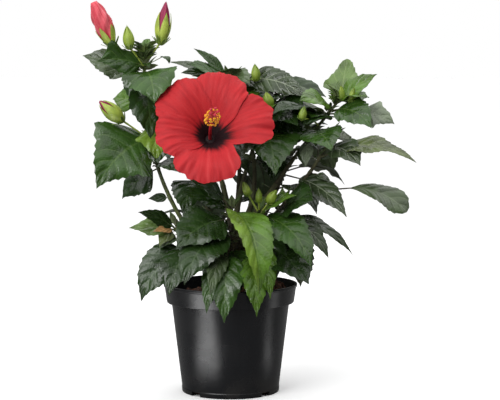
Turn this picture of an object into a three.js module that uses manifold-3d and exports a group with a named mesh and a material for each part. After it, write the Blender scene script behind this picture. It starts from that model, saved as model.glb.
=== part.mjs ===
// Potted hibiscus shrub, Hibiscus rosa-sinensis: a short woody trunk in a black nursery pot, its
// boughs, a mass of leaves on each, one open bloom and the buds that follow it.
// Millimetres, +Z up. The origin is the centre of the pot's flat underside, and -Y is the front,
// the side that the bloom faces.
import * as THREE from "three";
import { mergeVertices } from "three/addons/utils/BufferGeometryUtils.js";
import Module from "manifold-3d";

const wasm = await Module();
wasm.setup();

// ---------------------------------------------------------------- driving sizes
const gap = 0.3; // between pieces that touch

const pot = {
  height: 108,
  rimRadius: 66.6,
  collarRadius: 63.6, // outside, at the collar's lower edge
  collarHeight: 18.6,
  bodyRadius: 58.6, // outside, just under the collar
  baseRadius: 48.4,
  wall: 1.8,
  floor: 2.6,
  bevel: 1.2,
  sides: 40,
};
const notch = { count: 4, turn: 46, width: 11, height: 4.2, depth: 6 };
const soil = { top: 96, crown: 2.2, skirt: 8, sides: 24 };
const trunk = {
  top: 152,
  lean: [3, 1], // of its top, from its foot
  footRadius: 9.5,
  waistRadius: 7,
  tipRadius: 4.6,
  flare: 9, // height of the flared foot
  sides: 10,
};
const limb = { sides: 6, steps: 5, tipRadius: 2.3 };
const stem = { sides: 4, steps: 5, tipRadius: 1.2 };
const leafForm = { thickness: 1.1, fold: 0.22, ease: 1.2, belly: 0.62, rootLap: 4, stalkRadius: 0.95 };
const clearance = 0.9; // that a new leaf keeps from what is there already

// One shoot is a bough and the mass that it carries, on one curve: from its foot on the trunk,
// through its elbow half way, to its tip. It turns from bough to mass at the share "cut".
// A leaf springs "at" a share of that curve, on a stalk, and reaches its tip in an arc that falls
// by "sag" degrees. Its roll lifts its right edge, seen from its stalk, and a "belly" of more than
// leafForm's moves its widest part towards the tip. A bud stands on its foot
// and points to its tip. "fill" leaves more follow by the growth rule, from the course "turn".
const shoots = {
  left: {
    foot: 115, elbow: [-65, -8, 206], tip: [-84, -12, 326], cut: 0.3, radius: 4.0, fill: 1, turn: 120,
    leaves: [
      { at: 0.64, tip: [-130, -56, 205], sag: 50, roll: 46, stalk: 12, width: 58 },
      { at: 0.58, tip: [-108, 2, 192], sag: 30, roll: 34, stalk: 6, width: 26 },
      { at: 0.44, tip: [-81, -8, 193], sag: 12, roll: 40, stalk: 3, width: 12 },
      { at: 0.84, tip: [-117, 6, 291], sag: 34, roll: 40, stalk: 8, width: 36 },
      { at: 0.78, tip: [-88, -42, 238], sag: 50, roll: -10, stalk: 8, width: 22 },
      { at: 0.97, tip: [-72, -52, 288], sag: 84, roll: -10, stalk: 8, width: 54 },
      { at: 0.95, tip: [-146, 2, 334], sag: 20, roll: 30, stalk: 12, width: 28 },
      { at: 0.92, tip: [-126, -44, 324], sag: 36, roll: 56, stalk: 10, width: 26 },
      { at: 0.99, tip: [-65, -22, 326], sag: 60, roll: 0, stalk: 9, width: 11 },
      { at: 0.99, tip: [-78, -34, 322], sag: 60, roll: 0, stalk: 5, width: 9 },
    ],
    buds: [
      { at: 0.98, foot: [-114, -18, 342], tip: [-134, -20, 389], radius: 11.5 },
      { at: 0.985, foot: [-97, -26, 340], tip: [-100, -26, 363], radius: 5.5 },
      { at: 0.985, foot: [-68, -14, 345], tip: [-62, -14, 388], radius: 8.2 },
      { at: 0.7, foot: [-104, -26, 270], tip: [-128, -30, 291], radius: 8 },
    ],
  },
  centre: {
    foot: 148, elbow: [24, 6, 221], tip: [-4, 20, 312], cut: 0.4, radius: 3.6, fill: 4, turn: 205,
    leaves: [
      { at: 0.97, tip: [-62, 16, 328], sag: 26, roll: 12, stalk: 12, width: 22 },
      { at: 0.93, tip: [-50, -18, 320], sag: 40, roll: 34, stalk: 8, width: 32 },
      { at: 0.985, tip: [-36, 2, 341], sag: 26, roll: 50, stalk: 5, width: 20 },
      { at: 0.95, tip: [38, -6, 314], sag: 40, roll: -34, stalk: 7, width: 32 },
      { at: 0.8, tip: [-44, -16, 300], sag: 44, roll: 20, stalk: 8, width: 34 },
    ],
    buds: [{ at: 0.96, foot: [26, -6, 309], tip: [24, -8, 326], radius: 4.4 }],
  },
  top: {
    foot: 144, elbow: [17, 18, 224], tip: [50, 10, 300], cut: 0.4, radius: 3.6, fill: 4, turn: 170,
    leaves: [
      { at: 0.95, tip: [18, -14, 304], sag: 64, roll: 24, stalk: 5, width: 22 },
      { at: 0.97, tip: [80, -16, 292], sag: 52, roll: -30, stalk: 5, width: 22 },
      { at: 0.985, tip: [92, 24, 298], sag: 46, roll: -30, stalk: 6, width: 26 },
      { at: 0.6, tip: [44, -56, 213], sag: 60, roll: -4, stalk: 22, width: 56 },
      { at: 0.86, tip: [41, -32, 284], sag: 30, roll: 0, stalk: 14, width: 13 },
      { at: 0.8, tip: [66, -44, 266], sag: 50, roll: -14, stalk: 12, width: 32 },
    ],
    buds: [],
  },
  right: {
    foot: 140, elbow: [54, -4, 220], tip: [110, -10, 294], cut: 0.42, radius: 3.9, fill: 2, turn: 160,
    leaves: [
      { at: 0.985, tip: [116, 14, 331], sag: -8, roll: 6, stalk: 6, width: 54 },
      { at: 0.93, tip: [144, -26, 316], sag: 20, roll: -44, stalk: 9, width: 17 },
      { at: 0.95, tip: [138, 4, 293], sag: 30, roll: -30, stalk: 7, width: 18 },
      { at: 0.9, tip: [136, -50, 264], sag: 60, roll: -34, stalk: 10, width: 34 },
      { at: 0.88, tip: [161, -18, 267], sag: 40, roll: -44, stalk: 36, width: 26 },
      { at: 0.74, tip: [97, -62, 243], sag: 54, roll: -14, stalk: 10, width: 42 },
      { at: 0.92, tip: [71, -36, 291], sag: 50, roll: 16, stalk: 7, width: 24 },
      { at: 0.66, tip: [73, -24, 225], sag: 30, roll: 0, stalk: 5, width: 13 },
      { at: 0.48, tip: [113, -46, 178], sag: 46, roll: -34, stalk: 20, width: 32 },
    ],
    buds: [
      { at: 0.985, foot: [110, -22, 300], tip: [108, -25, 313], radius: 3.6 },
      { at: 0.99, foot: [116, -20, 302], tip: [119, -22, 315], radius: 3.4 },
      { at: 0.8, foot: [69, -40, 272], tip: [72, -42, 285], radius: 3.6 },
    ],
  },
  rightOuter: {
    foot: 130, elbow: [66, -14, 203], tip: [98, -22, 254], cut: 0.44, radius: 3.5, fill: 1, turn: 120,
    leaves: [
      { at: 0.78, tip: [180, -42, 232], sag: 56, roll: -30, stalk: 24, width: 28 },
      { at: 0.9, tip: [134, -46, 221], sag: 46, roll: -34, stalk: 9, width: 32 },
      { at: 0.64, tip: [99, -22, 209], sag: 34, roll: -20, stalk: 7, width: 17 },
      { at: 0.47, tip: [172, -36, 182], sag: 54, roll: -36, stalk: 54, width: 36, belly: 1.3 },
      { at: 0.97, tip: [128, -6, 248], sag: 30, roll: -26, stalk: 8, width: 24 },
    ],
    buds: [],
  },
  lowRight: {
    foot: 124, elbow: [34, -16, 164], tip: [52, -26, 188], cut: 0.42, radius: 3.3, fill: 0, turn: 60,
    leaves: [
      { at: 0.95, tip: [98, -38, 196], sag: 30, roll: -52, stalk: 5, width: 42 },
      { at: 0.8, tip: [121, -18, 138], sag: 44, roll: -30, stalk: 18, width: 30 },
      { at: 0.55, tip: [76, -62, 115], sag: 50, roll: -24, stalk: 18, width: 38 },
    ],
    buds: [],
  },
  front: {
    foot: 134, elbow: [16, -18, 158], tip: [29, -34, 180], cut: 0.45, radius: 3.1, fill: 0, turn: 0,
    leaves: [
      { at: 0.97, tip: [78, -74, 132], sag: 66, roll: -24, stalk: 8, width: 38 },
      { at: 0.62, tip: [39, -68, 101], sag: 54, roll: -8, stalk: 22, width: 24 },
      { at: 0.5, tip: [26, -74, 85], sag: 48, roll: 4, stalk: 32, width: 28 },
      { at: 0.9, tip: [64, -56, 200], sag: 40, roll: -30, stalk: 7, width: 16 },
    ],
    buds: [
      { at: 0.99, foot: [18, -46, 199], tip: [13, -48, 213], radius: 3.6 },
      { at: 0.99, foot: [28, -42, 192], tip: [28, -44, 206], radius: 3 },
      { at: 0.96, foot: [37, -44, 191], tip: [45, -48, 205], radius: 4.6 },
    ],
  },
  frontLeft: {
    foot: 124, elbow: [0, -20, 154], tip: [2, -36, 184], cut: 0.42, radius: 3.3, fill: 0, turn: 0,
    leaves: [
      { at: 0.97, tip: [34, -88, 104], sag: 104, roll: 8, stalk: 10, width: 42 },
      { at: 0.84, tip: [-51, -66, 149], sag: 50, roll: 30, stalk: 9, width: 46 },
      { at: 0.7, tip: [-43, -78, 116], sag: 60, roll: 20, stalk: 12, width: 46 },
      { at: 0.56, tip: [-5, -80, 80], sag: 52, roll: -4, stalk: 30, width: 34 },
      { at: 0.5, tip: [-26, -76, 101], sag: 44, roll: 14, stalk: 28, width: 20 },
      { at: 0.46, tip: [-22, -72, 88], sag: 46, roll: 0, stalk: 30, width: 22 },
      { at: 0.96, tip: [-49, -54, 203], sag: 44, roll: 40, stalk: 8, width: 26 },
      { at: 0.99, tip: [-46, -44, 212], sag: 40, roll: 40, stalk: 14, width: 24 },
    ],
    buds: [],
  },
  lowLeft: {
    foot: 118, elbow: [-32, -14, 143], tip: [-54, -18, 164], cut: 0.42, radius: 3.3, fill: 0, turn: 215,
    leaves: [
      { at: 0.97, tip: [-100, -20, 165], sag: 18, roll: 40, stalk: 5, width: 26 },
      { at: 0.88, tip: [-69, -26, 145], sag: 56, roll: 20, stalk: 5, width: 25 },
      { at: 0.95, tip: [-75, -38, 163], sag: 30, roll: 50, stalk: 6, width: 10 },
      { at: 0.6, tip: [-59, -50, 102], sag: 50, roll: 24, stalk: 9, width: 36 },
      { at: 0.8, tip: [-87, -26, 89], sag: 60, roll: 30, stalk: 8, width: 34 },
    ],
    buds: [],
  },
  backLeft: {
    foot: 130, elbow: [-30, 40, 200], tip: [-40, 62, 272], cut: 0.4, radius: 3.8, fill: 11, turn: -140,
    leaves: [],
    buds: [{ at: 0.99, foot: [-48, 66, 280], tip: [-51, 68, 302], radius: 5.2 }],
  },
  back: {
    foot: 138, elbow: [8, 48, 206], tip: [10, 74, 288], cut: 0.4, radius: 3.8, fill: 12, turn: 170,
    leaves: [],
    buds: [{ at: 0.99, foot: [12, 82, 296], tip: [13, 86, 320], radius: 5.6 }],
  },
  backRight: {
    foot: 122, elbow: [42, 38, 188], tip: [66, 60, 258], cut: 0.4, radius: 3.8, fill: 12, turn: 110,
    leaves: [],
    buds: [{ at: 0.99, foot: [72, 62, 266], tip: [74, 64, 282], radius: 3.9 }],
  },
  lowBackLeft: {
    foot: 116, elbow: [-14, 22, 144], tip: [-28, 44, 164], cut: 0.42, radius: 3.2, fill: 8, turn: -170,
    leaves: [],
    buds: [],
  },
  lowBackRight: {
    foot: 120, elbow: [16, 26, 146], tip: [30, 50, 166], cut: 0.42, radius: 3.2, fill: 8, turn: 130,
    leaves: [],
    buds: [],
  },
};

// The growth rule of the leaves that "fill" counts: from the oldest at the cut to the youngest at the tip.
const rule = {
  spiral: 137.5, // degrees from leaf to leaf round the stem
  first: 0.08, // share of the curve past the cut
  last: 0.965,
  rise: [-6, 44],
  sag: [78, 66],
  stalk: [24, 9],
  length: [72, 46],
  breadth: 0.6, // width over length
  spread: { heading: 30, rise: 16, length: 0.2, roll: 36 },
};
// No leaf that follows the rule reaches out of this room, a cone that widens upwards.
const crown = { centre: [20, 14], low: 90, lowRadius: 76, high: 300, highRadius: 124 };
const tuft = { leaves: 3, at: 0.97, rise: 64, sag: 24, stalk: 6, length: 16, width: 7, spiral: 120 };
// Where a leaf would touch another it turns by these changes of heading and rise, tried in order.
const swerves = [
  [0, 0], [9, 5], [-9, 5], [9, -9], [-9, -9], [20, 9], [-20, 9],
  [24, -14], [-24, -14], [38, 0], [-38, 0], [0, 30], [50, 20], [-50, 20], [60, -20], [-60, -20],
];

// Each petal has its turn clockwise from the top, seen from the front, the radius that it reaches
// and half the angle that it covers.
const bloom = {
  throat: [-19, -38, 252], // where the petals leave the calyx
  heading: 0,
  rise: 29, // of its axis
  petals: [
    { turn: 13, reach: 60, spread: 40 },
    { turn: 81, reach: 60, spread: 44 },
    { turn: 173, reach: 60, spread: 60 },
    { turn: 263, reach: 51, spread: 44 },
    { turn: 320, reach: 62, spread: 36 },
  ],
  depth: 34, // of the funnel
  roll: 7, // that the margins fall back
  lap: 3, // one edge of a petal lies over its neighbour
  clawRadius: 3.4,
  thickness: 1.2,
  rows: 7,
  meridians: 6,
};
const throat = { inner: 2.2, outer: 4.8, length: 7, sides: 10 };
const column = { length: 68, footRadius: 1.7, tipRadius: 1.1, anthersFrom: 0.62, anthersRadius: 7, sides: 6 };
const calyx = {
  back: 17, // length of the cup behind the throat
  radius: 6.6,
  footRadius: 3,
  sepals: 5,
  sepalWidth: 10,
  sepalThickness: 1.2,
  root: 9,
  front: 6,
  lean: 6, // of a sepal's tip, outwards
  stalkRadius: 1.6,
  stalkBend: 14,
};
const bloomBough = { foot: 150, elbow: [-4, -10, 192], tip: [-12, -8, 222], radius: 3.2 };

// ---------------------------------------------------------------- small helpers
const radians = THREE.MathUtils.degToRad;
const lerp = THREE.MathUtils.lerp;
const point = (xyz) => new THREE.Vector3(...xyz);

// A repeatable random number from 0 to 1.
function chance(seed) {
  const x = Math.sin(seed * 12.9898) * 43758.5453;
  return x - Math.floor(x);
}

// The unit vector of a compass course and a slope.
function aim(heading, rise) {
  const h = radians(heading);
  const r = radians(rise);
  return new THREE.Vector3(Math.sin(h) * Math.cos(r), -Math.cos(h) * Math.cos(r), Math.sin(r));
}

// A closed geometry as a solid, with its faces turned outwards.
function solidOf(geometry) {
  const plain = geometry.index ? geometry.toNonIndexed() : geometry.clone();
  plain.deleteAttribute("normal");
  plain.deleteAttribute("uv");
  const merged = mergeVertices(plain, 1e-3);
  const at = merged.getAttribute("position");
  const index = Array.from(merged.index.array);
  const [a, b, c] = [new THREE.Vector3(), new THREE.Vector3(), new THREE.Vector3()];
  let volume = 0;
  for (let i = 0; i < index.length; i += 3) {
    a.fromBufferAttribute(at, index[i]);
    b.fromBufferAttribute(at, index[i + 1]);
    c.fromBufferAttribute(at, index[i + 2]);
    volume += a.dot(b.cross(c));
  }
  if (volume < 0) {
    for (let i = 0; i < index.length; i += 3) {
      [index[i + 1], index[i + 2]] = [index[i + 2], index[i + 1]];
    }
  }
  return new wasm.Manifold(
    new wasm.Mesh({ numProp: 3, vertProperties: at.array, triVerts: new Uint32Array(index) }),
  );
}

function geometryOf(solid) {
  const { vertProperties, triVerts } = solid.getMesh();
  return new THREE.BufferGeometry()
    .setAttribute("position", new THREE.BufferAttribute(new Float32Array(vertProperties), 3))
    .setIndex(new THREE.BufferAttribute(new Uint32Array(triVerts), 1));
}

// The largest of a solid's separate bodies.
function largest(solid) {
  const bodies = solid.decompose();
  return bodies.reduce((best, body) => (body.volume() > best.volume() ? body : best));
}

const fuse = (solids) => largest(solids.reduce((whole, piece) => whole.add(piece)));

// Moves each vertex of a geometry to the place that "place" works out for it.
function reshape(geometry, place) {
  const at = geometry.getAttribute("position");
  const v = new THREE.Vector3();
  for (let i = 0; i < at.count; i++) {
    v.fromBufferAttribute(at, i);
    const p = place(v);
    at.setXYZ(i, p.x, p.y, p.z);
  }
  return geometry;
}

// The curve from a to c that passes b half way.
function bend(a, b, c) {
  const control = b.clone().multiplyScalar(2).addScaledVector(a, -0.5).addScaledVector(c, -0.5);
  return new THREE.QuadraticBezierCurve3(a, control, c);
}

// A tapering limb along a curve between two of its shares: a cylinder bent to the curve.
function taper(curve, [from, to], radiusAt, sides, steps) {
  const chord = curve.getPoint(to).sub(curve.getPoint(from)).normalize();
  const side = Math.abs(chord.y) > 0.8 ? new THREE.Vector3(1, 0, 0) : new THREE.Vector3(0, 1, 0);
  return solidOf(
    reshape(new THREE.CylinderGeometry(1, 1, 1, sides, steps), (v) => {
      const share = lerp(from, to, v.y + 0.5);
      const along = curve.getTangent(share);
      const across = new THREE.Vector3().crossVectors(along, side).normalize();
      const third = new THREE.Vector3().crossVectors(across, along);
      const r = radiusAt(v.y + 0.5);
      return curve.getPoint(share).addScaledVector(across, v.x * r).addScaledVector(third, v.z * r);
    }),
  );
}

// A straight twig between two points.
function twig(a, b, radius, sides = 3) {
  const middle = a.clone().add(b).multiplyScalar(0.5);
  return taper(bend(a, middle, b), [0, 1], () => radius, sides, 1);
}

// A body turned about the upright axis, from its half outline as radius and height.
function turned(outline, sides) {
  const points = outline.map(([radius, z]) => new THREE.Vector2(radius, z));
  return solidOf(new THREE.LatheGeometry(points, sides).rotateX(Math.PI / 2));
}

// ---------------------------------------------------------------- pot and soil
function potSolid() {
  const { height, rimRadius, collarRadius, bodyRadius, baseRadius, wall, floor, bevel } = pot;
  const collarFoot = height - pot.collarHeight;
  const outline = [
    [0, 0],
    [baseRadius - bevel, 0],
    [baseRadius, bevel],
    [bodyRadius, collarFoot - bevel],
    [collarRadius - bevel / 2, collarFoot],
    [collarRadius, collarFoot + bevel],
    [rimRadius, height - bevel],
    [rimRadius - bevel / 2, height],
    [rimRadius - wall, height],
    [collarRadius - wall, collarFoot + wall],
    [bodyRadius - wall, collarFoot - bevel],
    [baseRadius - wall, floor],
    [0, floor],
  ];
  const cut = solidOf(
    new THREE.BoxGeometry(notch.width, notch.depth * 2, notch.height * 2).translate(0, -baseRadius, 0),
  );
  let made = turned(outline, pot.sides);
  for (let i = 0; i < notch.count; i++) {
    made = made.subtract(cut.rotate([0, 0, notch.turn + (i * 360) / notch.count]));
  }
  return largest(made);
}

function soilSolid() {
  const { height, bodyRadius, baseRadius, collarHeight, wall, floor, bevel } = pot;
  const wallHeight = height - collarHeight - bevel - floor;
  const inside = (z) => lerp(baseRadius, bodyRadius, (z - floor) / wallHeight) - wall - 2 * gap;
  const edge = height - collarHeight - bevel;
  const outline = [
    [0, floor + gap],
    [inside(floor + gap), floor + gap],
    [inside(edge), edge],
    [inside(edge), soil.top - 1],
    [inside(edge) - soil.skirt, soil.top + 0.4],
    [trunk.footRadius + 6, soil.top + soil.crown],
    [trunk.footRadius + 3, soil.top],
    [0, soil.top],
  ];
  return turned(outline, soil.sides);
}

// ---------------------------------------------------------------- trunk and boughs
const trunkCurve = bend(
  point([0, 0, soil.top + gap]),
  point([trunk.lean[0] / 3, trunk.lean[1] / 3, lerp(soil.top, trunk.top, 0.5)]),
  point([trunk.lean[0], trunk.lean[1], trunk.top]),
);

function trunkSolid(extra = 0) {
  const length = trunk.top - soil.top;
  return taper(
    trunkCurve,
    [0, 1],
    (share) => {
      const flared = Math.max(0, 1 - (share * length) / trunk.flare) ** 2;
      const plain = lerp(trunk.waistRadius, trunk.tipRadius, share);
      return plain + (trunk.footRadius - trunk.waistRadius) * flared + extra;
    },
    trunk.sides,
    8,
  );
}

// The curve of a shoot, from the trunk's axis at the height of its foot.
function shootCurve(shoot) {
  const share = (shoot.foot - soil.top) / (trunk.top - soil.top);
  return bend(trunkCurve.getPoint(Math.min(share, 0.97)), point(shoot.elbow), point(shoot.tip));
}

const boughTaper = (curve, end, radius, extra = 0) =>
  taper(curve, [0, end], (share) => lerp(radius, limb.tipRadius, share) + extra, limb.sides, limb.steps);

// ---------------------------------------------------------------- leaves
// The half width of a blade, as a share of its widest: round at the base and drawn out at the tip.
const outlineAt = (along, belly = leafForm.belly) => Math.sin(Math.PI * along ** belly);

// The course, first slope and length of a leaf that has to end at its tip.
function leafTo(wanted, root) {
  const reach = point(wanted.tip).sub(root);
  const level = Math.hypot(reach.x, reach.y);
  const { stalk } = wanted;
  const half = radians(wanted.sag) / 2;
  const chord = Math.sqrt(reach.lengthSq() - (stalk * Math.sin(half)) ** 2) - stalk * Math.cos(half);
  const lead = Math.atan2(chord * Math.sin(half), stalk + chord * Math.cos(half));
  const rise = Math.atan2(reach.z, level) + lead;
  return {
    ...wanted,
    heading: THREE.MathUtils.radToDeg(Math.atan2(reach.x, -reach.y)),
    rise: THREE.MathUtils.radToDeg(rise),
    length: (chord * half) / Math.sin(half),
  };
}

// Where a leaf's blade starts, and its place and directions at a share of its length.
function leafFrame(leaf, root) {
  const start = root.clone().addScaledVector(aim(leaf.heading, leaf.rise), leaf.stalk);
  const level = aim(leaf.heading, 0);
  const r0 = radians(leaf.rise);
  const drop = radians(leaf.sag);
  const tilt = radians(leaf.roll);
  const side = new THREE.Vector3().crossVectors(level, new THREE.Vector3(0, 0, 1));
  return (along) => {
    const r = r0 - drop * along;
    const forward = (leaf.length * (Math.sin(r0) - Math.sin(r))) / drop;
    const up = (leaf.length * (Math.cos(r) - Math.cos(r0))) / drop;
    const tangent = aim(leaf.heading, THREE.MathUtils.radToDeg(r));
    const normal = new THREE.Vector3().crossVectors(side, tangent);
    return {
      place: start.clone().addScaledVector(level, forward).add(new THREE.Vector3(0, 0, up)),
      tangent,
      side: side.clone().multiplyScalar(Math.cos(tilt)).addScaledVector(normal, Math.sin(tilt)),
      normal: normal.clone().multiplyScalar(Math.cos(tilt)).addScaledVector(side, -Math.sin(tilt)),
    };
  };
}

// The longer the blade, the more rows it has.
const rowsOf = (length) => (length > 45 ? 5 : length > 20 ? 4 : 3);

// A thin blade with sharp edges: a four-sided sphere drawn out along the leaf's midrib.
function bladeSolid(leaf, frameAt, grow = 0) {
  return solidOf(
    reshape(new THREE.SphereGeometry(1, 4, rowsOf(leaf.length)), (v) => {
      const turn = Math.acos(THREE.MathUtils.clamp(v.y, -1, 1)) / Math.PI;
      const along = turn ** leafForm.ease;
      const ring = Math.hypot(v.x, v.z) || 1;
      const across = (-v.x / ring) * (leaf.width / 2 + grow) * outlineAt(along, leaf.belly);
      const lift = (v.z / ring) * (leafForm.thickness / 2 + grow) * Math.sin(Math.PI * turn);
      const folded = lift + Math.abs(across) * leafForm.fold;
      const { place, side, normal } = frameAt(along);
      return place.addScaledVector(side, across).addScaledVector(normal, folded);
    }),
  );
}

// The stalk, from a share of its way to the blade, sunk a little into the blade.
function stalkSolid(leaf, root, frameAt, start) {
  const { place, tangent } = frameAt(0);
  const from = root.clone().lerp(place, start);
  return twig(from, place.addScaledVector(tangent, leafForm.rootLap), leafForm.stalkRadius);
}

// ---------------------------------------------------------------- what stands where
// Every solid so far, which later leaves keep clear of.
const standing = [];
function stand(solid, mass, isStem = false) {
  standing.push({ solid, mass, isStem, box: solid.boundingBox() });
}

const boxesMeet = (a, b) => [0, 1, 2].every((i) => a.min[i] <= b.max[i] && b.min[i] <= a.max[i]);

function isFree(solid, skip = () => false) {
  const box = solid.boundingBox();
  return !standing.some(
    (other) => !skip(other) && boxesMeet(box, other.box) && solid.intersect(other.solid).volume() > 1e-4,
  );
}

function insideCrown(place) {
  const share = (place.z - crown.low) / (crown.high - crown.low);
  const [x, y] = crown.centre;
  return Math.hypot(place.x - x, place.y - y) < lerp(crown.lowRadius, crown.highRadius, share);
}

// The leaf as a solid that touches nothing, after a swerve if it needs one, or null.
function growLeaf(wanted, curve, mass) {
  const root = curve.getPoint(wanted.at);
  const aimed = wanted.tip ? leafTo(wanted, root) : wanted;
  const isOwn = (other) => other.mass === mass;
  const isOwnStem = (other) => isOwn(other) && other.isStem;
  for (const [turn, lift] of swerves) {
    const leaf = { ...aimed, heading: aimed.heading + turn, rise: aimed.rise + lift };
    const frameAt = leafFrame(leaf, root);
    if (!wanted.tip && !insideCrown(frameAt(1).place)) continue;
    if (!isFree(bladeSolid(leaf, frameAt, clearance))) continue;
    const stalk = stalkSolid(leaf, root, frameAt, 0);
    const outerStalk = stalkSolid(leaf, root, frameAt, 0.35);
    if (!isFree(stalk, isOwn) || !isFree(outerStalk, isOwnStem)) continue;
    const blade = bladeSolid(leaf, frameAt);
    stand(blade, mass);
    stand(stalk, mass, true);
    return stalk.add(blade);
  }
  return null;
}

// ---------------------------------------------------------------- buds
// A bud on its stalk, which springs from the stem.
function budSolid(bud, curve) {
  const root = curve.getPoint(bud.at);
  const foot = point(bud.foot);
  const axis = point(bud.tip).sub(foot);
  const length = axis.length();
  axis.normalize();
  const across = new THREE.Vector3().crossVectors(axis, new THREE.Vector3(0, 1, 0)).normalize();
  const third = new THREE.Vector3().crossVectors(across, axis);
  const body = solidOf(
    reshape(new THREE.SphereGeometry(1, 6, 5), (v) => {
      const along = (Math.acos(THREE.MathUtils.clamp(v.y, -1, 1)) / Math.PI) ** 1.1;
      const ring = Math.hypot(v.x, v.z) || 1;
      const r = (bud.radius * Math.sin(Math.PI * along ** 0.75)) / ring;
      return foot.clone().addScaledVector(axis, length * along - 1)
        .addScaledVector(across, v.x * r).addScaledVector(third, v.z * r);
    }),
  );
  return twig(root, foot.clone().addScaledVector(axis, 3), 1.1, 4).add(body);
}

// ---------------------------------------------------------------- the open bloom
const bloomAxis = aim(bloom.heading, bloom.rise);
const bloomRight = aim(bloom.heading + 90, 0);
const bloomUp = new THREE.Vector3().crossVectors(bloomAxis, bloomRight);

// A point round the bloom's axis: its turn clockwise from the top, its radius, and how far it is
// forward of the throat.
function roundBloom(turn, radius, forward) {
  return point(bloom.throat)
    .addScaledVector(bloomAxis, forward)
    .addScaledVector(bloomUp, Math.cos(turn) * radius)
    .addScaledVector(bloomRight, Math.sin(turn) * radius);
}

function petalSolid({ turn, reach, spread }) {
  return solidOf(
    reshape(new THREE.SphereGeometry(1, bloom.meridians, bloom.rows), (v) => {
      const along = Math.acos(THREE.MathUtils.clamp(v.y, -1, 1)) / Math.PI;
      const ring = Math.hypot(v.x, v.z) || 1;
      const across = -v.x / ring;
      const out = Math.sin((Math.PI / 2) * along);
      const fan = Math.sqrt(1 - out ** 8);
      const radius = lerp(bloom.clawRadius, reach, out ** 1.1);
      const forward = 1 + bloom.depth * (1 - (1 - out) ** 2) - bloom.roll * out ** 4;
      const lift = (v.z / ring) * (bloom.thickness / 2) * Math.sin(Math.PI * along) ** 0.5;
      const swing = radians(turn + across * spread * fan);
      return roundBloom(swing, radius, forward + across * bloom.lap * out + lift);
    }),
  );
}

// The ring in which the petals are rooted.
function throatSolid() {
  const { inner, outer, length, sides } = throat;
  const outline = [[inner, 0], [outer, 0], [outer, length], [inner, length], [inner, 0]];
  return solidOf(
    reshape(new THREE.LatheGeometry(outline.map(([r, z]) => new THREE.Vector2(r, z)), sides), (v) =>
      roundBloom(Math.atan2(v.x, v.z), Math.hypot(v.x, v.z), v.y),
    ),
  );
}

function columnSolid() {
  const { length, footRadius, tipRadius } = column;
  const axis = bend(roundBloom(0, 0, 0), roundBloom(0, 0, length / 2), roundBloom(0, 0, length));
  const rod = taper(axis, [0, 1], (share) => lerp(footRadius, tipRadius, share), column.sides, 2);
  const middle = lerp(column.anthersFrom, 1, 0.5) * length;
  const half = ((1 - column.anthersFrom) / 2) * length;
  const anthers = solidOf(
    reshape(new THREE.SphereGeometry(1, 8, 6), (v) =>
      roundBloom(Math.atan2(v.x, v.z), Math.hypot(v.x, v.z) * column.anthersRadius, middle + v.y * half),
    ),
  );
  return rod.add(anthers);
}

// One pointed lobe of the calyx, that leans out behind the petals.
function sepalSolid(middle) {
  const { radius, sepalWidth, sepalThickness, front, lean, root } = calyx;
  return solidOf(
    reshape(new THREE.SphereGeometry(1, 4, 4), (v) => {
      const along = Math.acos(THREE.MathUtils.clamp(v.y, -1, 1)) / Math.PI;
      const ring = Math.hypot(v.x, v.z) || 1;
      const across = (-v.x / ring) * (sepalWidth / 2) * Math.sin(Math.PI * along ** 0.7);
      const lift = (v.z / ring) * (sepalThickness / 2) * Math.sin(Math.PI * along);
      const out = lerp(radius - 1.5, radius + lean, along);
      return roundBloom(middle + across / out, out + lift, lerp(-root, front, along));
    }),
  );
}

function calyxSolid(stalkCurve) {
  const { back, radius, footRadius, sepals, stalkRadius } = calyx;
  const cup = solidOf(
    reshape(new THREE.CylinderGeometry(radius, footRadius, back - gap, 10, 1), (v) =>
      roundBloom(Math.atan2(v.x, v.z), Math.hypot(v.x, v.z), v.y - (back + gap) / 2),
    ),
  );
  const pieces = [cup, taper(stalkCurve, [0, 1], () => stalkRadius, 5, 5)];
  for (let i = 0; i < sepals; i++) {
    pieces.push(sepalSolid(radians(((i + 0.5) * 360) / sepals)));
  }
  return fuse(pieces);
}

// ---------------------------------------------------------------- the assembly
const colours = {
  plastic: new THREE.MeshStandardMaterial({ color: 0x1d1f22, roughness: 0.38, metalness: 0 }),
  peat: new THREE.MeshStandardMaterial({ color: 0x4a2c1c, roughness: 0.95, metalness: 0 }),
  bark: new THREE.MeshStandardMaterial({ color: 0x4d4a33, roughness: 0.8, metalness: 0 }),
  leaf: new THREE.MeshStandardMaterial({ color: 0x2c4f22, roughness: 0.4, metalness: 0 }),
  petal: new THREE.MeshStandardMaterial({ color: 0xc92a30, roughness: 0.55, metalness: 0 }),
  pollen: new THREE.MeshStandardMaterial({ color: 0xe8a51c, roughness: 0.7, metalness: 0 }),
  sepal: new THREE.MeshStandardMaterial({ color: 0x6f9a2e, roughness: 0.5, metalness: 0 }),
};
const plant = new THREE.Group();

function addNode(name, solid, material) {
  const mesh = new THREE.Mesh(geometryOf(solid), material);
  mesh.name = name;
  plant.add(mesh);
}

function place(name, solid, material) {
  stand(solid, name, true);
  addNode(name, solid, material);
}

place("pot", potSolid(), colours.plastic);
place("soil", soilSolid(), colours.peat);
place("trunk", trunkSolid(), colours.bark);

// Each bough is cut clear of the trunk and of the boughs that spring beside it.
const beside = [trunkSolid(gap)];
function addBough(name, curve, end, radius) {
  const whole = boughTaper(curve, end, radius);
  place(name, largest(beside.reduce((left, other) => left.subtract(other), whole)), colours.bark);
  beside.push(boughTaper(curve, end, radius, gap));
}
const bloomCurve = shootCurve(bloomBough);
addBough("bough_bloom", bloomCurve, 1, bloomBough.radius);
const curves = Object.fromEntries(Object.entries(shoots).map(([name, shoot]) => [name, shootCurve(shoot)]));
for (const [name, shoot] of Object.entries(shoots)) {
  addBough("bough_" + name, curves[name], shoot.cut, shoot.radius);
}

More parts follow.
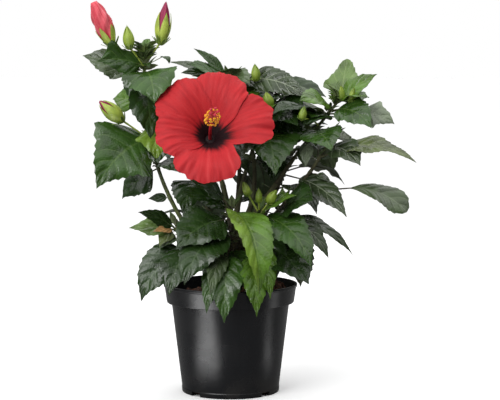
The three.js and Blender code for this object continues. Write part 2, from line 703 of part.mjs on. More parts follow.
place("bloom_petals", fuse([throatSolid(), ...bloom.petals.map(petalSolid)]), colours.petal);
place("bloom_column", columnSolid(), colours.pollen);
const stalkCurve = new THREE.QuadraticBezierCurve3(
  bloomCurve.getPoint(1).addScaledVector(bloomCurve.getTangent(1), gap),
  bloomCurve.getPoint(1).addScaledVector(bloomCurve.getTangent(1), calyx.stalkBend),
  roundBloom(0, 0, 4 - calyx.back),
);
place("bloom_calyx", calyxSolid(stalkCurve), colours.sepal);

// Stems and buds first, then the leaves that stand out, then those that fill the crown.
const masses = {};
for (const [name, shoot] of Object.entries(shoots)) {
  const start = shoot.cut + gap / curves[name].getLength();
  const core = taper(
    curves[name], [start, 1], (share) => lerp(limb.tipRadius, stem.tipRadius, share), stem.sides, stem.steps,
  );
  stand(core, name, true);
  masses[name] = [core];
  for (const bud of shoot.buds) {
    const made = budSolid(bud, curves[name]);
    stand(made, name);
    masses[name].push(made);
  }
}

function addLeaf(name, leaf) {
  const made = growLeaf(leaf, curves[name], name);
  if (made) masses[name].push(made);
}

for (const [name, shoot] of Object.entries(shoots)) {
  for (const leaf of shoot.leaves) addLeaf(name, leaf);
}

// The leaf of a number by the growth rule.
function ruleLeaf(shoot, number, seed) {
  const share = (number + 0.5) / shoot.fill;
  const vary = (width, which) => width * (chance(seed + which) - 0.5);
  const length = lerp(...rule.length, share) * (1 + vary(rule.spread.length, 2));
  return {
    at: lerp(shoot.cut + rule.first, rule.last, share),
    heading: shoot.turn + rule.spiral * number + vary(rule.spread.heading, 0),
    rise: lerp(...rule.rise, share) + vary(rule.spread.rise, 1),
    sag: lerp(...rule.sag, share),
    stalk: lerp(...rule.stalk, share),
    roll: vary(rule.spread.roll, 3),
    length,
    width: length * rule.breadth,
  };
}

Object.entries(shoots).forEach(([name, shoot], order) => {
  for (let number = 0; number < shoot.fill; number++) {
    addLeaf(name, ruleLeaf(shoot, number, 100 * (order + 1) + 10 * number));
  }
  for (let number = 0; number < tuft.leaves; number++) {
    addLeaf(name, { ...tuft, heading: shoot.turn + tuft.spiral * number, roll: 0 });
  }
});

for (const [name, pieces] of Object.entries(masses)) {
  addNode("leaves_" + name, fuse(pieces), colours.leaf);
}

export default plant;
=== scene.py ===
# Potted hibiscus shrub: the plant's looks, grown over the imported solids. Blender works in metres;
# the dictionaries below are in millimetres and degrees, as the source is, and newPiece scales them.
from math import acos, atan2, cos, degrees, exp, floor, hypot, pi, radians, sin, sqrt

import bmesh
import bpy
from mathutils import Matrix, Vector, kdtree, noise


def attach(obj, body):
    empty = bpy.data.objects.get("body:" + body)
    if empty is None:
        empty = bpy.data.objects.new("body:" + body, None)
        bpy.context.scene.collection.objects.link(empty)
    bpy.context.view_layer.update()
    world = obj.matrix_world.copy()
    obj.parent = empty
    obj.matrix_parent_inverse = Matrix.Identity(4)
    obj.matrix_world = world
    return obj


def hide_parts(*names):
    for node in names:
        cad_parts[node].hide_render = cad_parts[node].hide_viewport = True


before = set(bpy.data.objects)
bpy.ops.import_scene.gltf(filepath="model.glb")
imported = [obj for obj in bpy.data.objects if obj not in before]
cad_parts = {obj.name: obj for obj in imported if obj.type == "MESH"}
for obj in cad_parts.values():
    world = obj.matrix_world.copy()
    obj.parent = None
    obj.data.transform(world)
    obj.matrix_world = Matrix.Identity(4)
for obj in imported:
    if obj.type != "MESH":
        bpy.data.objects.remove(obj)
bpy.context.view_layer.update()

scene = bpy.context.scene
mm = 0.001
up = Vector((0, 0, 1))


def lerp(a, b, share):
    return a + (b - a) * share


def smoothStep(low, high, x):
    x = min(1, max(0, (x - low) / (high - low)))
    return x * x * (3 - 2 * x)


def chance(seed):  # a repeatable random number from 0 to 1
    x = sin(seed * 12.9898) * 43758.5453
    return x - floor(x)


def aim(heading, rise):  # the unit vector of a compass course and a slope
    h, r = radians(heading), radians(rise)
    return Vector((sin(h) * cos(r), -cos(h) * cos(r), sin(r)))


def bend(a, b, c):  # the curve from a to c that passes b half way
    return a, b * 2 - a / 2 - c / 2, c


def placeOn(curve, t):
    a, b, c = curve
    return a * (1 - t) ** 2 + b * (2 * t * (1 - t)) + c * t ** 2


# meshes

def addTube(bm, placeAt, radiusAt, sides, steps, material=0):
    # a limb along a curve; radiusAt takes the share of the length and the angle round the limb
    made = bmesh.ops.create_cone(bm, cap_ends=True, segments=sides, radius1=1, radius2=1, depth=1)
    uprights = {e for v in made["verts"] for e in v.link_edges
                if abs(e.verts[0].co.z - e.verts[1].co.z) > 0.5}
    cut = bmesh.ops.subdivide_edges(bm, edges=list(uprights), cuts=steps - 1)
    inner = [v for v in cut["geom_inner"] if isinstance(v, bmesh.types.BMVert)]
    verts = {e.other_vert(v) for v in inner for e in v.link_edges} | set(inner)
    chord = placeAt(1) - placeAt(0)
    guide = Vector((1, 0, 0)) if abs(chord.y) > 0.8 * chord.length else Vector((0, 1, 0))
    rings = {}
    for v in verts:
        t = v.co.z + 0.5
        step = round(t * steps)
        if step not in rings:
            course = (placeAt(min(1, t + 0.01)) - placeAt(max(0, t - 0.01))).normalized()
            across = course.cross(guide).normalized()
            rings[step] = placeAt(t), across, course.cross(across)
        place, across, third = rings[step]
        angle = atan2(v.co.y, v.co.x)
        v.co = place + (across * cos(angle) + third * sin(angle)) * radiusAt(t, angle)
    for face in {f for v in verts for f in v.link_faces}:
        face.material_index = material


def addLimb(bm, curve, radiusAt, sides, steps, material=0, span=(0, 1)):
    addTube(bm, lambda t: placeOn(curve, lerp(*span, t)), radiusAt, sides, steps, material)


def addSheet(bm, columns, rows, placeAt, thickness, materials=(0, 0), uvAt=None, patchAt=None):
    # a thin closed shell; placeAt, uvAt and patchAt take across from -1 to 1 and along from 0 to 1,
    # and patchAt gives the material of a spot where it differs
    uvLayer = bm.loops.layers.uv.verify()
    made = bmesh.ops.create_grid(bm, x_segments=columns, y_segments=rows, size=1)
    faces = {f for v in made["verts"] for f in v.link_faces}
    for face in faces:
        face.material_index = materials[0]
        middle = face.calc_center_median()
        patch = patchAt(middle.x, (middle.y + 1) / 2) if patchAt else None
        if patch is not None:
            face.material_index = patch
        if uvAt:
            for loop in face.loops:
                loop[uvLayer].uv = uvAt(loop.vert.co.x, (loop.vert.co.y + 1) / 2)
    for v in made["verts"]:
        v.co = placeAt(v.co.x, (v.co.y + 1) / 2)
    bmesh.ops.remove_doubles(bm, verts=made["verts"], dist=0.01)
    faces = {f for f in faces if f.is_valid}
    shell = bmesh.ops.solidify(bm, geom=list(faces), thickness=thickness)
    for item in shell["geom"]:
        if isinstance(item, bmesh.types.BMFace) and item not in faces:
            item.material_index = materials[1]


def addBall(bm, placeAt, segments, rings, material=0, mapped=False):
    # placeAt takes the angle round the axis and the share of the way from pole to pole
    bm.loops.layers.uv.verify()
    made = bmesh.ops.create_uvsphere(bm, u_segments=segments, v_segments=rings, radius=1,
                                     calc_uvs=mapped)
    for face in {f for v in made["verts"] for f in v.link_faces}:
        face.material_index = material
    for v in made["verts"]:
        v.co = placeAt(atan2(v.co.y, v.co.x), acos(min(1, max(-1, -v.co.z))) / pi)


def newPiece(name, bm, materials, nodes, sharp=45):
    bmesh.ops.scale(bm, vec=(mm, mm, mm), verts=bm.verts)
    mesh = bpy.data.meshes.new(name)
    bm.to_mesh(mesh)
    bm.free()
    for material in materials:
        mesh.materials.append(material)
    mesh.shade_smooth()
    mesh.set_sharp_from_angle(angle=radians(sharp))
    piece = bpy.data.objects.new(name, mesh)
    scene.collection.objects.link(piece)
    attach(piece, "root")
    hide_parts(*nodes)
    return piece


# materials

def srgb(red, green, blue):  # a colour as painted, 0 to 255, to the linear values that shaders take
    tone = [c / 255 for c in (red, green, blue)]
    return (*[c / 12.92 if c < 0.04045 else ((c + 0.055) / 1.055) ** 2.4 for c in tone], 1)


def wire(tree, kind, sockets, **settings):
    # a node with its inputs, each a value or another node's output
    made = tree.nodes.new("ShaderNode" + kind)
    for key, value in settings.items():
        setattr(made, key, value)
    for key, value in sockets.items():
        if isinstance(value, bpy.types.NodeSocket):
            tree.links.new(value, made.inputs[key])
        else:
            made.inputs[key].default_value = value
    return made


def maths(tree, operation, a, b=0.0, c=0.0):
    return wire(tree, "Math", {0: a, 1: b, 2: c}, operation=operation).outputs[0]


def ramp(tree, value, fromLow, fromHigh, toLow, toHigh):
    sockets = {0: value, 1: fromLow, 2: fromHigh, 3: toLow, 4: toHigh}
    return wire(tree, "MapRange", sockets, interpolation_type="SMOOTHSTEP").outputs[0]


def mixed(tree, share, a, b):
    return wire(tree, "Mix", {0: share, 6: a, 7: b}, data_type="RGBA").outputs[2]


def group(name, inputs, outputs):
    tree = bpy.data.node_groups.new(name, "ShaderNodeTree")
    for label, kind, value in inputs:
        socket = tree.interface.new_socket(label, in_out="INPUT", socket_type="NodeSocket" + kind)
        if value is not None:
            socket.default_value = value
    for label in outputs:
        tree.interface.new_socket(label, in_out="OUTPUT", socket_type="NodeSocketFloat")
    return tree, tree.nodes.new("NodeGroupInput"), tree.nodes.new("NodeGroupOutput")


def mottleGroup():  # uneven colour and shine: a slow cloud and a fine grain
    tree, given, result = group(
        "mottle", [("Vector", "Vector", None), ("Cloud", "Float", 60.0), ("Grain", "Float", 900.0)],
        ["Cloud", "Grain"])
    for label, detail in (("Cloud", 3.0), ("Grain", 2.0)):
        cloud = wire(tree, "TexNoise", {"Vector": given.outputs["Vector"],
                                        "Scale": given.outputs[label], "Detail": detail})
        tree.links.new(ramp(tree, cloud.outputs[0], 0.3, 0.7, 0.0, 1.0), result.inputs[label])
    return tree


def veinGroup():
    # across from -1 to 1 and along in vein spacings, from a blade's UV map
    tree, given, result = group(
        "veins", [("Blade", "Vector", None), ("Climb", "Float", 1.5), ("Width", "Float", 0.06)],
        ["Veins", "Quilt"])
    parts = wire(tree, "SeparateXYZ", {0: given.outputs["Blade"]})
    edge = maths(tree, "ABSOLUTE", parts.outputs[0])
    climbing = maths(tree, "MULTIPLY", edge, given.outputs["Climb"])
    wave = maths(tree, "PINGPONG", maths(tree, "SUBTRACT", parts.outputs[1], climbing), 0.5)
    side = ramp(tree, wave, 0.0, given.outputs["Width"], 1.0, 0.0)
    faded = maths(tree, "MULTIPLY", side, ramp(tree, edge, 0.45, 1.0, 1.0, 0.25))
    rib = ramp(tree, edge, 0.01, 0.055, 1.0, 0.0)
    tree.links.new(maths(tree, "MAXIMUM", faded, rib), result.inputs["Veins"])
    tree.links.new(ramp(tree, wave, 0.0, 0.4, 0.0, 1.0), result.inputs["Quilt"])
    return tree


mottle = mottleGroup()
veins = veinGroup()


def newMaterial(name, **shine):
    material = bpy.data.materials.new(name)
    material.use_nodes = True
    tree = material.node_tree
    shader = tree.nodes["Principled BSDF"]
    for key, value in shine.items():
        shader.inputs[key].default_value = value
    where = tree.nodes.new("ShaderNodeTexCoord")
    return material, tree, shader, where


def mottled(tree, place, cloud, grain):
    return wire(tree, "Group", {"Vector": place, "Cloud": cloud, "Grain": grain}, node_tree=mottle)


def roughen(tree, shader, mask, low, high):
    tree.links.new(ramp(tree, mask, 0.0, 1.0, low, high), shader.inputs["Roughness"])


def relief(tree, shader, height, depth):  # depth in millimetres
    bump = wire(tree, "Bump", {"Height": height, "Distance": depth * mm, "Strength": 1.0})
    tree.links.new(bump.outputs[0], shader.inputs["Normal"])


def plainMatter(name, light, dark, roughness, cloud=60.0, grain=900.0, depth=0.1, **shine):
    # a surface that is mottled between two colours, with a fine grain
    material, tree, shader, where = newMaterial(name, **shine)
    spots = mottled(tree, where.outputs["Object"], cloud, grain)
    colour = mixed(tree, spots.outputs["Cloud"], srgb(*dark), srgb(*light))
    tree.links.new(colour, shader.inputs["Base Color"])
    roughen(tree, shader, spots.outputs["Cloud"], roughness - 0.06, roughness + 0.06)
    relief(tree, shader, spots.outputs["Grain"], depth)
    return material


# pot and compost

pot = dict(height=108, rimRadius=66.6, collarRadius=63.6, collarHeight=18.6, bodyRadius=58.6,
           baseRadius=48.4, wall=1.8, floor=2.6, lip=3.2, edge=0.6, steps=144)
notch = dict(count=4, turn=46, width=11, height=4.2, depth=6)
soil = dict(top=96, crown=2.2, skirt=8, gap=0.6, rings=34, crumbs=1500, bare=9, steps=120)
heap = dict(x=38, y=4, height=14, reach=15)


def turned(bm, outline, steps):  # a body turned about the upright axis
    verts = [bm.verts.new((radius, 0, z)) for radius, z in outline]
    edges = [bm.edges.new(pair) for pair in zip(verts, verts[1:])]
    bmesh.ops.spin(bm, geom=verts + edges, axis=up, cent=(0, 0, 0), steps=steps,
                   angle=2 * pi, use_merge=True)
    bmesh.ops.remove_doubles(bm, verts=bm.verts, dist=0.001)
    bmesh.ops.recalc_face_normals(bm, faces=bm.faces)


def softened(bm, width, angle):  # rounds the sharp rings of a turned body
    bm.normal_update()
    sharp = [e for e in bm.edges if len(e.link_faces) == 2 and e.calc_face_angle() > radians(angle)]
    bmesh.ops.bevel(bm, geom=sharp, offset=width, segments=3, profile=0.5, affect="EDGES", material=-1)


def potMesh():
    foot = pot["height"] - pot["collarHeight"]
    wall, body, base = pot["wall"], pot["bodyRadius"], pot["baseRadius"]
    collar, rim, height = pot["collarRadius"], pot["rimRadius"], pot["height"]
    ledge = height - pot["lip"]  # the rolled lip stands a little proud of the collar
    outline = [
        (0, 0.8), (base - 5, 0.8), (base - 4, 0), (base, 0), (base + 0.5, 4.6), (base + 0.1, 5.2),
        (body, foot - 1.2), (body, foot), (collar - 0.4, foot), (collar, foot + 1.4),
        (rim - 1, ledge), (rim, ledge + 0.5), (rim, height), (rim - wall - 0.6, height),
        (collar - wall, foot + wall), (body - wall, foot - 1.2), (base - wall, pot["floor"]),
        (0, pot["floor"]),
    ]
    bm = bmesh.new()
    turned(bm, outline, pot["steps"])
    softened(bm, pot["edge"], 35)
    return bm


def potPlastic():
    # black moulded plastic: faint upright flow marks, dust near the foot and dull scuffs
    material, tree, shader, where = newMaterial("potPlastic", **{"Specular IOR Level": 0.4})
    here = where.outputs["Object"]
    spots = mottled(tree, here, 35.0, 1400.0)
    drawn = wire(tree, "Mapping", {"Vector": here, "Scale": (1, 1, 0.04)})
    flow = wire(tree, "TexNoise", {"Vector": drawn.outputs[0], "Scale": 260.0, "Detail": 2.0})
    parts = wire(tree, "SeparateXYZ", {0: here})
    dust = maths(tree, "MULTIPLY", ramp(tree, parts.outputs[2], 0.0, 0.03, 0.5, 0.05),
                 spots.outputs["Cloud"])
    plain = mixed(tree, flow.outputs[0], srgb(11, 12, 15), srgb(21, 22, 25))
    tree.links.new(mixed(tree, dust, plain, srgb(52, 50, 47)), shader.inputs["Base Color"])
    roughen(tree, shader, spots.outputs["Cloud"], 0.22, 0.3)
    height = maths(tree, "ADD", maths(tree, "MULTIPLY", flow.outputs[0], 0.6), spots.outputs["Grain"])
    relief(tree, shader, height, 0.03)
    return material


def makePot():
    piece = newPiece("potShell", potMesh(), [potPlastic()], ["pot"], sharp=40)
    cutters = bmesh.new()
    for number in range(notch["count"]):
        made = bmesh.ops.create_cube(cutters, size=1)["verts"]
        bmesh.ops.scale(cutters, vec=(notch["width"] * mm, 2 * notch["depth"] * mm,
                                      2 * notch["height"] * mm), verts=made)
        bmesh.ops.translate(cutters, vec=(0, -pot["baseRadius"] * mm, 0), verts=made)
        turn = radians(notch["turn"] + number * 360 / notch["count"])
        bmesh.ops.rotate(cutters, cent=(0, 0, 0), matrix=Matrix.Rotation(turn, 3, "Z"), verts=made)
    mesh = bpy.data.meshes.new("notches")
    cutters.to_mesh(mesh)
    cutters.free()
    blocks = bpy.data.objects.new("notches", mesh)
    scene.collection.objects.link(blocks)
    cut = piece.modifiers.new("notches", "BOOLEAN")
    cut.operation, cut.object, cut.solver = "DIFFERENCE", blocks, "EXACT"
    made = bpy.data.meshes.new_from_object(piece.evaluated_get(bpy.context.evaluated_depsgraph_get()))
    piece.modifiers.clear()
    piece.data = made
    bpy.data.objects.remove(blocks)
    print("pot", len(made.polygons), "faces")


def compostMatter():
    # moist peat: dark brown crumbs with paler fibres and bits of bark
    material, tree, shader, where = newMaterial("compost")
    here = where.outputs["Object"]
    spots = mottled(tree, here, 120.0, 700.0)
    cells = wire(tree, "TexVoronoi", {"Vector": here, "Scale": 330.0})
    bits = mixed(tree, spots.outputs["Cloud"], srgb(44, 27, 18), srgb(104, 62, 40))
    fibres = ramp(tree, cells.outputs[1], 0.72, 0.95, 0.0, 0.8)
    tree.links.new(mixed(tree, fibres, bits, srgb(140, 92, 60)), shader.inputs["Base Color"])
    roughen(tree, shader, spots.outputs["Grain"], 0.82, 1.0)
    relief(tree, shader, spots.outputs["Grain"], 0.6)
    return material


def heapAt(x, y):  # the compost lies higher towards one side of the wall
    away = (x - heap["x"]) ** 2 + (y - heap["y"]) ** 2
    return heap["height"] * exp(-away / (2 * heap["reach"] ** 2))


def makeSoil():
    ledge = pot["height"] - pot["collarHeight"] - 1.2
    inset, low, rings = pot["wall"] + soil["gap"], pot["floor"] + 0.4, soil["rings"]
    radius = pot["bodyRadius"] - inset
    outline = [(0, low), (pot["baseRadius"] - inset, low), (radius, ledge), (radius, soil["top"] - 1.5)]
    outline += [(radius * (1 - k / rings), soil["top"]) for k in range(1, rings + 1)]
    bm = bmesh.new()
    turned(bm, outline, soil["steps"])
    for v in bm.verts:
        if v.co.z > soil["top"] - 2:
            out = hypot(v.co.x, v.co.y)
            crown = soil["crown"] * (1 - smoothStep(radius - soil["skirt"], radius, out)) - 1
            lumps = noise.fractal(v.co * 0.09, 0.7, 2.2, 4) * 1.6 + noise.fractal(v.co * 0.5, 0.8, 2, 2)
            v.co.z += (crown + lumps * 0.9) * (1 if out < radius - 0.5 else 0.2)
            v.co.z += heapAt(v.co.x, v.co.y)
    for number in range(soil["crumbs"]):
        seed = 7000 + 5 * number
        out, turn = radius * 0.97 * sqrt(chance(seed)), 2 * pi * chance(seed + 1)
        if out < soil["bare"]:  # none under the trunk
            continue
        size = 0.5 + 1.6 * chance(seed + 2) ** 3
        place = Vector((out * cos(turn), out * sin(turn), soil["top"] + 0.6 + 1.2 * chance(seed + 3)))
        place.z += heapAt(place.x, place.y)
        lump = bmesh.ops.create_icosphere(bm, subdivisions=1, radius=size)["verts"]
        for v in lump:
            v.co *= 0.75 + 0.5 * chance(seed + 4 + v.index % 12 * 0.37)
            v.co.z *= 0.7
        bmesh.ops.translate(bm, vec=place, verts=lump)
    newPiece("compostBed", bm, [compostMatter()], ["soil"], sharp=30)
    print("compost", soil["crumbs"], "crumbs")


# the growth rule: every shoot is a bough and the mass of leaves that it carries, on one curve

trunk = dict(top=152, lean=(3, 1), footRadius=9.5, waistRadius=7, tipRadius=4.6, flare=9)
limb = dict(tipRadius=2.3, sides=16, ridge=0.05, node=0.16, nodes=(0.3, 0.55, 0.8))
stem = dict(tipRadius=1.2, sides=10)


def leafAt(at, tip, sag, roll, stalk, width, tint, **extra):
    # its place on the stem, the tip that it reaches, the arc that it falls by and its roll; a lobe is
    # how much wider it grows, where, over what span and on which side (0 for both); drawn is where
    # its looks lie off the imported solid's place
    return dict(at=at, tip=tip, sag=sag, roll=roll, stalk=stalk, width=width, tint=tint, **extra)


def budAt(at, foot, tip, radius, kind):
    return dict(at=at, foot=foot, tip=tip, radius=radius, kind=kind)


# each shoot: its foot's height on the trunk, the middle and the tip of its curve, where its bough ends,
# how many leaves the rule fills in and the course of the first; more are leaves that the solids lack
shoots = {
    "left": dict(
        foot=115, elbow=(-65, -8, 206), tip=(-84, -12, 326), cut=0.3, radius=4, fill=1, turn=120,
        leaves=[
            leafAt(0.64, (-130, -56, 205), 50, 46, 12, 62, "mid",
                   drawn=dict(at=0.71, tip=(-128, -52, 206), stalk=4, width=64, lobe=(0.35, 0.4, 0.1, 0))),
            leafAt(0.58, (-108, 2, 192), 30, 66, 6, 40, "deep"),
            leafAt(0.44, (-81, -8, 193), 12, 40, 3, 12, "deep"),
            leafAt(0.84, (-117, 6, 291), 34, 40, 8, 36, "mid", drawn=dict(tint="bright")),
            leafAt(0.78, (-88, -42, 238), 50, -20, 8, 30, "lime", lobe=(0.4, 0.36, 0.09, 0),
                   drawn=dict(tip=(-71, -30, 231))),
            leafAt(0.97, (-72, -52, 288), 84, -10, 8, 54, "mid"),
            leafAt(0.95, (-146, 2, 334), 20, 52, 12, 34, "sagePaintedSheen"),
            leafAt(0.92, (-126, -44, 324), 36, 74, 10, 36, "mid",
                   drawn=dict(at=0.99, tip=(-128, -40, 328), roll=80, stalk=4, width=30, fold=0.3,
                              lobe=(1.1, 0.66, 0.13, 1))),
            leafAt(0.99, (-65, -22, 326), 60, 0, 9, 11, "mid",
                   drawn=dict(tip=(-59, -26, 326), sag=120, stalk=22, width=12)),
            leafAt(0.99, (-78, -34, 322), 60, 0, 5, 9, "mid"),
        ],
        more=[
            leafAt(0.6, (-48, -34, 220), 50, -20, 5, 24, "deep"),
            leafAt(0.93, (-77, -34, 253), 50, 6, 5, 40, "deep"),
            leafAt(0.86, (-68, -30, 273), 50, -16, 5, 32, "deep"),
            leafAt(0.97, (-94, -26, 287), 40, 20, 5, 30, "deep"),
            leafAt(0.7, (-70, -32, 229), 50, -20, 6, 34, "deep"),
        ],
        buds=[
            budAt(0.98, (-114, -18, 342), (-134, -20, 389), 11.5, "coral"),
            budAt(0.985, (-97, -26, 340), (-100, -26, 363), 5.5, "green"),
            budAt(0.985, (-68, -14, 345), (-62, -14, 388), 8.2, "tipped"),
            budAt(0.7, (-104, -26, 270), (-128, -30, 291), 8, "pale"),
        ],
    ),
    "centre": dict(
        foot=148, elbow=(24, 6, 221), tip=(-4, 20, 312), cut=0.4, radius=3.6, fill=4, turn=205,
        leaves=[
            leafAt(0.97, (-62, 16, 328), 26, 12, 12, 22, "sagePaintedSheen"),
            leafAt(0.93, (-50, -18, 320), 40, 34, 8, 32, "mid"),
            leafAt(0.985, (-36, 2, 341), 26, 50, 5, 20, "mid"),
            leafAt(0.95, (38, -6, 314), 40, -34, 7, 32, "sagePaintedSheen"),
            leafAt(0.8, (-44, -16, 300), 44, 20, 8, 34, "deep"),
        ],
        more=[
            leafAt(0.9, (-38, 6, 314), 40, 30, 6, 34, "deep"),
            leafAt(0.95, (2, -6, 322), 50, 0, 6, 28, "mid"),
            leafAt(0.98, (76, -30, 292), 44, -58, 24, 27, "veinedPaintedSheen"),
            leafAt(0.95, (-48, -16, 317), 40, 46, 6, 28, "deep"),
            leafAt(1, (20, -16, 306), 40, -44, 4, 24, "sagePaintedSheen"),
            leafAt(0.97, (-30, -20, 312), 40, 30, 5, 24, "deep"),
        ],
        buds=[
            budAt(0.96, (26, -6, 309), (24, -8, 326), 4.4, "green"),
        ],
    ),
    "top": dict(
        foot=144, elbow=(17, 18, 224), tip=(50, 10, 300), cut=0.4, radius=3.6, fill=4, turn=170,
        leaves=[
            leafAt(0.95, (18, -14, 304), 64, 24, 5, 22, "bright"),
            leafAt(0.97, (80, -16, 292), 52, -30, 5, 22, "sagePaintedSheen"),
            leafAt(0.985, (92, 24, 298), 46, -30, 6, 26, "mid"),
            leafAt(0.6, (44, -56, 213), 60, -4, 22, 56, "mid",
                   drawn=dict(at=0.76, tip=(44, -56, 219), stalk=6, width=66, lobe=(0.4, 0.34, 0.16, 0))),
            leafAt(0.86, (41, -32, 284), 30, 0, 14, 13, "bright"),
            leafAt(0.8, (66, -44, 266), 50, -14, 12, 32, "deep"),
        ],
        more=[
            leafAt(0.99, (95, 0, 293), 50, -50, 4, 30, "deep"),
            leafAt(0.92, (71, -24, 277), 50, -36, 5, 38, "deep"),
            leafAt(0.84, (68, -24, 250), 50, -24, 6, 40, "deep"),
            leafAt(0.97, (31, -16, 285), 50, 10, 4, 26, "deep"),
        ],
        buds=[
            budAt(0.9, (39, -20, 282), (35, -24, 299), 5.6, "green"),
        ],
    ),
    "right": dict(
        foot=140, elbow=(54, -4, 220), tip=(110, -10, 294), cut=0.42, radius=3.9, fill=2, turn=160,
        leaves=[
            leafAt(0.985, (116, 14, 331), -8, 6, 6, 56, "fresh",
                   drawn=dict(width=32, blunt=0.5, lobe=(0.55, 0.3, 0.16, 0))),
            leafAt(0.93, (144, -26, 316), 20, -44, 9, 17, "bright",
                   drawn=dict(tip=(143, -26, 316), width=26)),
            leafAt(0.95, (138, 4, 293), 30, -30, 7, 18, "bright"),
            leafAt(0.9, (136, -50, 264), 60, -34, 10, 34, "mid"),
            leafAt(0.88, (161, -18, 267), 40, -44, 36, 28, "silver", lobe=(0.4, 0.36, 0.09, 0)),
            leafAt(0.74, (97, -62, 243), 54, -14, 10, 42, "mid"),
            leafAt(0.92, (71, -36, 291), 50, 16, 7, 24, "bright",
                   drawn=dict(tip=(67, -40, 290), roll=30, width=30)),
            leafAt(0.66, (73, -24, 225), 30, 0, 5, 13, "sagePaintedSheen"),
            leafAt(0.48, (113, -46, 178), 46, -34, 20, 32, "veinedPaintedSheen", drawn=dict(width=28)),
        ],
        more=[
            leafAt(0.7, (74, -26, 225), 40, 0, 4, 14, "silver"),
            leafAt(0.97, (135, -30, 293), 50, -20, 5, 26, "bright"),
            leafAt(0.84, (79, -36, 274), 50, 20, 5, 30, "mid"),
            leafAt(0.88, (71, -36, 266), 50, 16, 5, 30, "deep"),
            leafAt(0.78, (83, -36, 246), 50, -10, 5, 30, "mid"),
        ],
        buds=[
            budAt(0.985, (110, -22, 291), (108, -25, 305), 2.7, "green"),
            budAt(0.99, (117, -22, 289), (121, -24, 303), 2.6, "green"),
            budAt(0.8, (69, -40, 272), (72, -42, 285), 3.6, "green"),
        ],
    ),
    "rightOuter": dict(
        foot=130, elbow=(66, -14, 203), tip=(98, -22, 254), cut=0.44, radius=3.5, fill=1, turn=120,
        leaves=[
            leafAt(0.78, (180, -42, 232), 56, -30, 24, 28, "olive",
                   drawn=dict(tip=(178, -64, 232), stalk=20, width=34)),
            leafAt(0.9, (134, -46, 221), 46, -34, 9, 32, "veinedPaintedSheen"),
            leafAt(0.64, (99, -22, 209), 34, -20, 7, 17, "sagePaintedSheen"),
            leafAt(0.47, (172, -36, 182), 54, -36, 54, 36, "sagePaintedSheen", belly=1.3,
                   drawn=dict(belly=1.9, blunt=0.6, width=34)),
            leafAt(0.97, (128, -6, 248), 30, -26, 8, 24, "olive"),
        ],
        buds=[],
    ),
    "lowRight": dict(
        foot=124, elbow=(34, -16, 164), tip=(52, -26, 188), cut=0.42, radius=3.3, fill=0, turn=60,
        leaves=[
            leafAt(0.95, (98, -38, 196), 30, -52, 5, 42, "deep"),
            leafAt(0.8, (121, -18, 138), 44, -30, 18, 30, "veinedPaintedSheen", drawn=dict(width=18)),
            leafAt(0.55, (76, -62, 115), 50, -24, 18, 52, "deep", drawn=dict(at=0.46, sag=10, width=60)),
        ],
        more=[
            leafAt(0.5, (40, -46, 110), 50, -10, 12, 34, "deep"),
            leafAt(0.8, (96, -40, 137), 46, -34, 16, 26, "veinedPaintedSheen"),
            leafAt(0.4, (69, -50, 118), 20, -10, 10, 36, "deep"),
        ],
        buds=[],
    ),
    "front": dict(
        foot=134, elbow=(16, -18, 158), tip=(29, -34, 180), cut=0.45, radius=3.1, fill=0, turn=0,
        leaves=[
            leafAt(0.97, (78, -74, 132), 66, -24, 8, 40, "mid"),
            leafAt(0.62, (39, -68, 101), 54, -8, 22, 24, "bright"),
            leafAt(0.5, (26, -74, 85), 48, 4, 32, 28, "bright"),
            leafAt(0.9, (64, -56, 200), 40, -30, 7, 16, "bright", drawn=dict(width=27)),
        ],
        buds=[
            budAt(0.99, (18, -46, 199), (13, -48, 213), 3.6, "green"),
            budAt(0.99, (28, -42, 192), (28, -44, 206), 3, "green"),
            budAt(0.96, (37, -44, 191), (45, -48, 205), 4.6, "green"),
        ],
    ),
    "frontLeft": dict(
        foot=124, elbow=(0, -20, 154), tip=(2, -36, 184), cut=0.42, radius=3.3, fill=0, turn=0,
        leaves=[
            leafAt(0.97, (34, -88, 104), 104, 8, 10, 42, "bright", margin="lime", fold=0.42),
            leafAt(0.84, (-51, -66, 149), 50, 30, 9, 52, "deep"),
            leafAt(0.7, (-43, -78, 116), 60, 20, 12, 46, "deep"),
            leafAt(0.56, (-5, -80, 80), 52, -4, 30, 34, "mid"),
            leafAt(0.5, (-26, -76, 101), 44, 14, 28, 20, "sagePaintedSheen"),
            leafAt(0.46, (-22, -72, 88), 46, 0, 30, 22, "mid"),
            leafAt(0.96, (-49, -54, 203), 44, 40, 8, 26, "deep"),
            leafAt(0.99, (-46, -44, 212), 40, 40, 14, 24, "deep"),
        ],
        more=[
            leafAt(0.4, (-18, -50, 104), 50, 10, 10, 36, "deep"),
            leafAt(0.4, (10, -50, 106), 50, -10, 10, 34, "mid"),
        ],
        buds=[],
    ),
    "lowLeft": dict(
        foot=118, elbow=(-32, -14, 143), tip=(-54, -18, 164), cut=0.42, radius=3.3, fill=0, turn=215,
        leaves=[
            leafAt(0.97, (-100, -20, 165), 18, 40, 5, 26, "fresh"),
            leafAt(0.88, (-69, -26, 145), 56, 20, 5, 25, "sagePaintedSheen"),
            leafAt(0.95, (-75, -38, 163), 30, 50, 6, 10, "withered"),
            leafAt(0.6, (-59, -50, 102), 50, 24, 9, 36, "deep"),
            leafAt(0.8, (-87, -26, 89), 60, 76, 8, 44, "deep",
                   drawn=dict(at=0.56, tip=(-87, -32, 94), roll=64, stalk=14, width=40)),
        ],
        more=[
            leafAt(1, (-90, -34, 182), 30, 58, 4, 17, "deep"),
            leafAt(0.96, (-69, -32, 148), 50, 30, 5, 17, "olive"),
        ],
        buds=[],
    ),
    "backLeft": dict(
        foot=130, elbow=(-30, 40, 200), tip=(-40, 62, 272), cut=0.4, radius=3.8, fill=11, turn=-140,
        leaves=[],
        buds=[
            budAt(0.99, (-48, 66, 280), (-51, 68, 302), 5.2, "green"),
        ],
    ),
    "back": dict(
        foot=138, elbow=(8, 48, 206), tip=(10, 74, 288), cut=0.4, radius=3.8, fill=12, turn=170,
        leaves=[],
        buds=[
